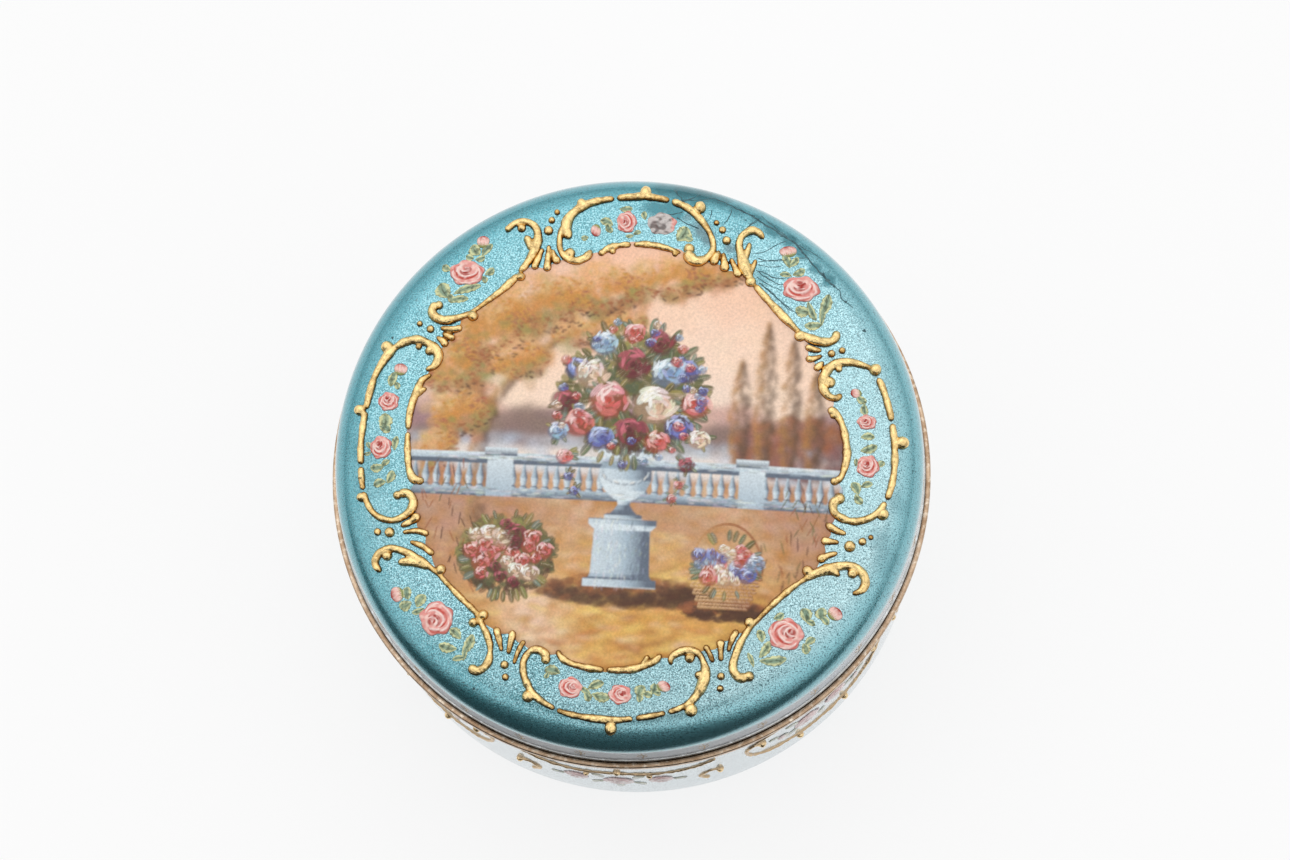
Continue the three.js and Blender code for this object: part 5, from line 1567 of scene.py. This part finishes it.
def paint_basket():
    """A woven basket of flowers with a handle, at the right."""
    scatter(260, 13.2, -19.2, 11, 2.4, 1.4, [UMBER, UMBER, RUSSET], angle=0.0, strength=0.45)
    for row in range(11):
        half, height = 3.0 + 0.17 * row, 0.42 * row
        way = 0.25 if row % 2 else -0.25
        for k in range(14):
            x = 13 + half * (2 * (k + 0.5 * (row % 2)) / 14 - 1)
            tone = mixed(TAN, RUSSET, unit(0.3 + 0.55 * (x - 13) / half + some(-0.2, 0.2)))
            dab(x, -18.9 + height, 0.74, 0.4, way, mixed(tone, UMBER, 0.35))
            dab(x - 0.05, -18.82 + height, 0.6, 0.2, way, mixed(tone, CREAM, 0.3))
    for k in range(40):
        turn = math.pi * k / 39
        x, y = 13 + 4.4 * math.cos(turn), -14.4 + 6.0 * math.sin(turn)
        dab(x, y, 0.7, 0.42, turn + UPRIGHT, mixed(RUSSET, TAN, 0.5 + 0.5 * math.cos(turn + 2.4)))
    leaves_round(13, -13.6, 3.8, 26, 1.5)
    heap(13, -13.4, 22, 4.0, 0.55, 1, (1.4, 2.6), (CREAM_ROSE, PEONY, LARKSPUR, IRIS))


def paint_grass():
    """Upright grass along the lower edge."""
    for _ in range(90):
        turn = picks.choice((-2.7, -0.5)) + some(-0.35, 0.35)
        x, y = round_place(0, 0, turn, some(20, 26))
        tone = one_of((OLIVE, UMBER, RUSSET))
        dab(x, y, some(1.0, 2.2), 0.26, UPRIGHT + some(-0.6, 0.6), jitter(tone), 0.7)


for paint in (
    paint_sky, paint_distance, paint_ground, paint_trees, paint_stonework, paint_bouquet, paint_bed,
    paint_basket, paint_grass,
):
    paint()


FIELD_SIDES = 720
FIELD_REACH = 27.5
FIELD_TUCK = 0.7  # how far the painting reaches under the gold
PAINTING_SPANS = 440


def field_edge():
    """How far the painting reaches in each direction: just under the innermost gold."""
    edge = np.full(FIELD_SIDES, FIELD_REACH)
    angles = np.arange(FIELD_SIDES) * 2 * math.pi / FIELD_SIDES
    for strokes, _ in LID_GOLD.values():
        for stroke in strokes:
            line, _ = sampled(stroke, 0.2)
            reach = np.hypot(line[:, 0], line[:, 1]) - line[:, 2] / 2 + FIELD_TUCK
            for angle, radius in zip(np.arctan2(line[:, 1], line[:, 0]), reach):
                apart = np.abs((angles - angle + math.pi) % (2 * math.pi) - math.pi)
                edge = np.where(apart < 0.02, np.minimum(edge, radius), edge)
    kernel = np.hanning(13)
    padded = np.r_[edge[-12:], edge, edge[:12]]
    return np.convolve(padded, kernel / kernel.sum(), "same")[12:-12]


def painting_mesh():
    """A round skin of even cells, laid over the dome, with the canvas's colours and its brushwork."""
    spans = PAINTING_SPANS
    side = np.linspace(-1, 1, spans + 1)
    a, b = np.meshgrid(side, side)
    a, b = a.ravel(), b.ravel()
    big = np.maximum(np.abs(a), np.abs(b))
    wide = np.abs(a) > np.abs(b)
    flat = np.where(wide, b / np.where(a == 0, 1, a), a / np.where(b == 0, 1, b))
    turn = math.pi / 4 * flat
    angle_wide = turn + np.where(a < 0, math.pi, 0)
    angle_high = math.pi / 2 - turn + np.where(b < 0, math.pi, 0)
    angle = np.where(wide, angle_wide, angle_high)
    edge = field_edge()
    at = (angle % (2 * math.pi)) / (2 * math.pi) * len(edge)
    reach = np.interp(at, np.arange(len(edge) + 1), np.r_[edge, edge[0]])
    x, y = big * reach * np.cos(angle), big * reach * np.sin(angle)
    v, u = ((place + CANVAS_REACH) / (2 * CANVAS_REACH) * (CANVAS_CELLS - 1) for place in (y, x))
    i, j = v.astype(int), u.astype(int)

    def taken(grid):
        """The grid's values at the points, blended between its cells."""
        up, along = (v - i, u - j) if grid.ndim == 2 else ((v - i)[:, None], (u - j)[:, None])
        low = grid[i, j] * (1 - along) + grid[i, j + 1] * along
        high = grid[i + 1, j] * (1 - along) + grid[i + 1, j + 1] * along
        return low * (1 - up) + high * up

    body = taken(np.clip(body_colour, 0, 1.2))
    inner = unit((1 - big) / 0.03)
    up = 0.02 + 0.12 * np.sqrt(inner) + 0.02 * body * inner
    row = spans + 1
    faces = []
    for p in range(spans):
        for q in range(spans):
            k = p * row + q
            faces.append((k, k + 1, k + row + 1, k + row))
    piece = make_mesh("painted_medallion", on_lid(x, y, up), faces)
    paint_points(piece, "paint", unit(taken(canvas)))
    settle(piece, "lid", painted("painting_paint", 0.4, 0.4), "medallion")


painting_mesh()


# Decoration in its place

for name, (strokes, beads) in LID_GOLD.items():
    if name.startswith("fan"):
        strokes = [petal[1:] for petal in strokes]
    goldwork(f"gold_{name}", "lid", strokes, beads, on_lid, replaced=f"gold_{name}")
for side, spray in SPRAYS.items():
    flower_spray(f"rose_spray_{side}", "lid", spray, on_lid)

QUARTER = math.pi / 2
FRAME_SLIM = 0.58  # thickness of the wall's gold beside the lid's
SWAG_SLIM = 0.55
for i in range(4):
    number = i + 1
    place, between = on_wall(BASE_RADIUS, 0, QUARTER * (i + 0.5)), on_wall(BASE_RADIUS, 0, QUARTER * i)
    name = f"gold_wall_frame_{number}"
    goldwork(name, "base", *WALL_FRAME, place, FRAME_SLIM, name)
    flower_spray(f"wall_roses_{number}", "base", WALL_ROSES, place)
    goldwork(f"wall_swag_{number}", "base", *WALL_SWAG, between, SWAG_SLIM)
    flower_spray(f"swag_roses_{number}", "base", SWAG_ROSES, between)

# Small gilt sprigs painted round the lid's wall
SPRIGS = 30
SPRIG_HEIGHT = 0.04
CRACK_HEIGHT = 0.02
SPECK_HEIGHT = 0.025

sprig_lines = []
for k in range(SPRIGS):
    x = 2 * math.pi * LID_RADIUS * k / SPRIGS
    sprig_lines.append([[x, 0.5, 0.12], [x + 0.15, 1.9, 0.18], [x - 0.1, 3.6, 0.12]])
    for side in (-1, 1):
        sprig_lines.append([[x, 1.2, 0.08], [x + side * 0.5, 1.75, 0.13], [x + side * 0.7, 2.3, 0.08]])
        sprig_lines.append([[x, 2.3, 0.08], [x + side * 0.4, 2.75, 0.12], [x + side * 0.5, 3.2, 0.07]])
sprig_gold = gilding(
    "sprig_gold", (0.7, 0.56, 0.39), (0.48, 0.36, 0.23), (0.82, 0.72, 0.56), 900, 0.38)
lid_wall = on_wall(LID_RADIUS, LID_BOTTOM)
ribbon_mesh("lid_wall_sprigs", sprig_lines, lid_wall, SPRIG_HEIGHT, sprig_gold)

# Age: cracks in the enamel, dark specks and places where it has come away
CRACKS = [
    [[11.4, 32.7, 0.13], [12.6, 32.3, 0.17], [14.4, 31.2, 0.21], [16, 30.2, 0.21], [18, 29, 0.23],
     [19.4, 28.1, 0.21], [20.8, 26.4, 0.18], [21.9, 25.2, 0.15], [22.7, 24.4, 0.26], [23.7, 23.4, 0.21],
     [24.9, 22.5, 0.13], [25.4, 21.3, 0.13], [26.8, 20.4, 0.11]],
    [[14.7, 32, 0.09], [16.1, 30.7, 0.11], [17.8, 29.3, 0.11], [19, 28.6, 0.11], [20.2, 27.8, 0.11],
     [21.4, 27.3, 0.11], [22.6, 26.6, 0.08]],
    [[14, 26.6, 0.12], [15.6, 27, 0.11], [16.9, 27.9, 0.11], [18, 28.5, 0.11]],
    [[14.5, 26, 0.12], [15.7, 25.8, 0.11], [17.2, 25.8, 0.11], [18.2, 25.9, 0.09]],
    [[14.7, 25.5, 0.09], [16.6, 25.9, 0.09], [18.2, 26.1, 0.09], [19.9, 26.4, 0.12], [21, 26.5, 0.11]],
    [[14.7, 25.1, 0.12], [16.3, 25, 0.11], [17.6, 25.2, 0.09]],
    [[14.5, 24.4, 0.13], [15.8, 24, 0.12], [16.9, 23.5, 0.12], [18.5, 23.6, 0.09]],
    [[14.8, 24.3, 0.13], [15.8, 23.5, 0.13], [17.2, 22.8, 0.12], [18.1, 22.7, 0.09]],
    [[14.7, 23.6, 0.14], [15.6, 22.9, 0.13], [16.8, 22.3, 0.13], [17.8, 22, 0.11]],
    [[15, 22.8, 0.14], [15.9, 22, 0.13], [17.1, 21.1, 0.12], [18.5, 19.8, 0.11], [19.3, 19.2, 0.09]],
    [[15.3, 22.5, 0.12], [16.5, 21.7, 0.12], [17.9, 20.4, 0.12], [19.9, 18.9, 0.09]],
    [[12, 28.9, 0.11], [13.5, 30.4, 0.13], [14.4, 31.2, 0.15]],
    [[4.6, 33.2, 0.13], [5.7, 33.5, 0.14], [7, 34.4, 0.11]],
    [[4.9, 33.1, 0.13], [5.9, 33.3, 0.13], [7.2, 33.5, 0.12], [8.4, 33.9, 0.13], [9.5, 33.6, 0.14],
     [10.8, 33, 0.13], [12.5, 32.2, 0.13], [13.9, 31.7, 0.14]],
    [[3.8, 34.6, 0.18], [4.9, 33, 0.13], [5, 32.2, 0.11]],
    [[4.2, 30.8, 0.18], [5, 30.3, 0.17], [6, 29.9, 0.15], [7, 29.5, 0.13]],
    [[11, 32.4, 0.11], [10.8, 31.4, 0.12], [10.1, 30.4, 0.11]],
    [[14.5, 31.5, 0.13], [13.7, 30.8, 0.12], [13.1, 29.9, 0.09]],
    [[8.4, 32.1, 0.13], [8.5, 31.7, 0.13], [8.3, 30.9, 0.11]],
    [[2.6, 31.2, 0.12], [3.8, 31.3, 0.13], [4.9, 31.6, 0.15]],
]
ribbon_mesh("enamel_cracks", CRACKS, on_lid, CRACK_HEIGHT, stain)
SPECKS = [
    [28.3, 17.4, 0.45, 0.38], [22.7, 24.5, 0.6, 0.45], [23.4, 23.7, 0.65, 0.4], [25.8, 21, 0.35, 0.3],
    [-16.9, -30.2, 0.35, 0.3], [-30.2, 13.5, 0.3, 0.35], [3.8, 34.6, 0.35, 0.3], [12.8, 31, 0.22, 0.2],
    [17.4, 29.2, 0.4, 0.22], [-7.3, -27.9, 0.5, 0.3], [24.3, 22.9, 0.4, 0.2],
]
patch_mesh("enamel_specks", SPECKS, SPECK_HEIGHT, stain)


# Floor, light and camera

STUDIO_FRONT = (-0.12, -0.99, 0)
UP = (0, 0, 1)
MIRRORED_ABOVE = (-0.03, -0.257, 0.966)  # what the lid's top mirrors towards the camera
FLOOR_REACH = 4.0
TABLE_FADE = (0.046, 0.067)  # the paper darkens between these distances in front of the box
PAPER_WHITE = 0.95
PAPER_GLOW = 1.04
GLOW_SEEN, GLOW_MIRRORED = 0.8, 0.7  # share of glow in place of reflected light
LAMP_SIZE = 0.6
LAMP_POWER = 0.5
LAMP_PLACE = (-0.1, 0.36, 0.82)
BOX_MIDDLE = (0, 0, 0.03)


def eased(tree, value, low, high, to_low, to_high):
    return node(tree, "MapRange", {
        "Value": value, "From Min": low, "From Max": high, "To Min": to_low, "To Max": to_high,
    }, interpolation_type="SMOOTHSTEP").outputs["Result"]


def studio_floor():
    """White paper that glows a little to the camera and in mirrors, and ends in front of the box."""
    size = FLOOR_REACH
    corners = [(-size, -size, 0), (size, -size, 0), (size, size, 0), (-size, size, 0)]
    data = bpy.data.meshes.new("studio_floor")
    data.from_pydata(corners, [], [(0, 1, 2, 3)])
    floor = add_object("studio_floor", data)
    material = bpy.data.materials.new("studio_paper")
    material.use_nodes = True
    tree = material.node_tree
    tree.nodes.clear()
    path = node(tree, "LightPath")
    seen = path.outputs["Is Camera Ray"]
    ahead = toward(tree, object_place(tree), STUDIO_FRONT)
    table_end = eased(tree, ahead, *TABLE_FADE, PAPER_WHITE, 0.03)
    tone = node(tree, "Mix", {0: seen, 2: table_end, 3: PAPER_WHITE}, data_type="FLOAT").outputs[0]
    paper = node(tree, "BsdfDiffuse", {"Color": tone})
    glow = node(tree, "Emission", {"Color": tone, "Strength": PAPER_GLOW})
    in_mirror = times(tree, path.outputs["Is Glossy Ray"], GLOW_MIRRORED)
    share = times(tree, times(tree, seen, GLOW_SEEN), in_mirror, "MAXIMUM")
    joined = node(tree, "MixShader", {0: share, 1: paper.outputs[0], 2: glow.outputs[0]}).outputs[0]
    node(tree, "OutputMaterial", {"Surface": joined})
    data.materials.append(material)


def studio_light():
    """An even white room, dimmer low down in front and above, with one soft lamp behind."""
    world = bpy.data.worlds.new("studio")
    bpy.context.scene.world = world
    world.use_nodes = True
    tree = world.node_tree
    tree.nodes.clear()
    way = node(tree, "TexCoord").outputs["Generated"]
    shade = eased(tree, toward(tree, way, STUDIO_FRONT), 0.56, 0.86, 1.0, 0.1)
    level = times(tree, shade, spread(tree, toward(tree, way, UP), 0.0, 0.45, 0.45, 1.06))
    above = spread(tree, toward(tree, way, MIRRORED_ABOVE), 0.955, 0.985, 1.0, 0.4)
    level = times(tree, level, above)
    seen = times(tree, node(tree, "LightPath").outputs["Is Camera Ray"], 1.0)
    strength = node(tree, "Mix", {0: seen, 2: level, 3: 1.0}, data_type="FLOAT").outputs[0]
    back = node(tree, "Background", {"Color": (1.0, 1.0, 1.0, 1), "Strength": strength}).outputs[0]
    node(tree, "OutputWorld", {"Surface": back})

    lamp = bpy.data.lights.new("softbox", "AREA")
    lamp.shape = "RECTANGLE"
    lamp.size = LAMP_SIZE
    lamp.size_y = LAMP_SIZE
    lamp.energy = LAMP_POWER
    holder = add_object("softbox", lamp)
    holder.location = LAMP_PLACE
    aim = Vector(BOX_MIDDLE) - holder.location
    holder.rotation_euler = aim.to_track_quat("-Z", "Y").to_euler()


def camera():
    """The photograph's camera, fitted to the rims, the shoulder and the foot."""
    tilt, lean = CAMERA_TILT, CAMERA_LEAN
    up = np.array([-math.sin(tilt) * math.cos(lean), -math.sin(tilt) * math.sin(lean), -math.cos(tilt)])
    flat = np.array([math.cos(DECOR_TURN), math.sin(DECOR_TURN), 0.0])
    x_axis = flat - up * (flat @ up)
    x_axis /= np.linalg.norm(x_axis)
    turn = np.stack([x_axis, np.cross(up, x_axis), up])  # rows: the object's axes seen by the camera
    place = -turn @ np.array([*CAMERA_OFFSET, CAMERA_DISTANCE]) + np.array([0, 0, RIM_TOP])
    right, down, forward = turn.T
    data = bpy.data.cameras.new("photo_camera")
    data.sensor_width = SENSOR
    data.lens = FOCAL_PIXELS / IMAGE_WIDTH * SENSOR
    data.clip_start = 0.02
    data.clip_end = 20
    holder = add_object("photo_camera", data)
    rows = np.stack([right, -down, -forward, place * MM], 1)
    holder.matrix_world = Matrix([*rows.tolist(), (0, 0, 0, 1)])
    bpy.context.scene.camera = holder


studio_floor()
studio_light()
camera()
bpy.context.scene.view_settings.view_transform = "Standard"
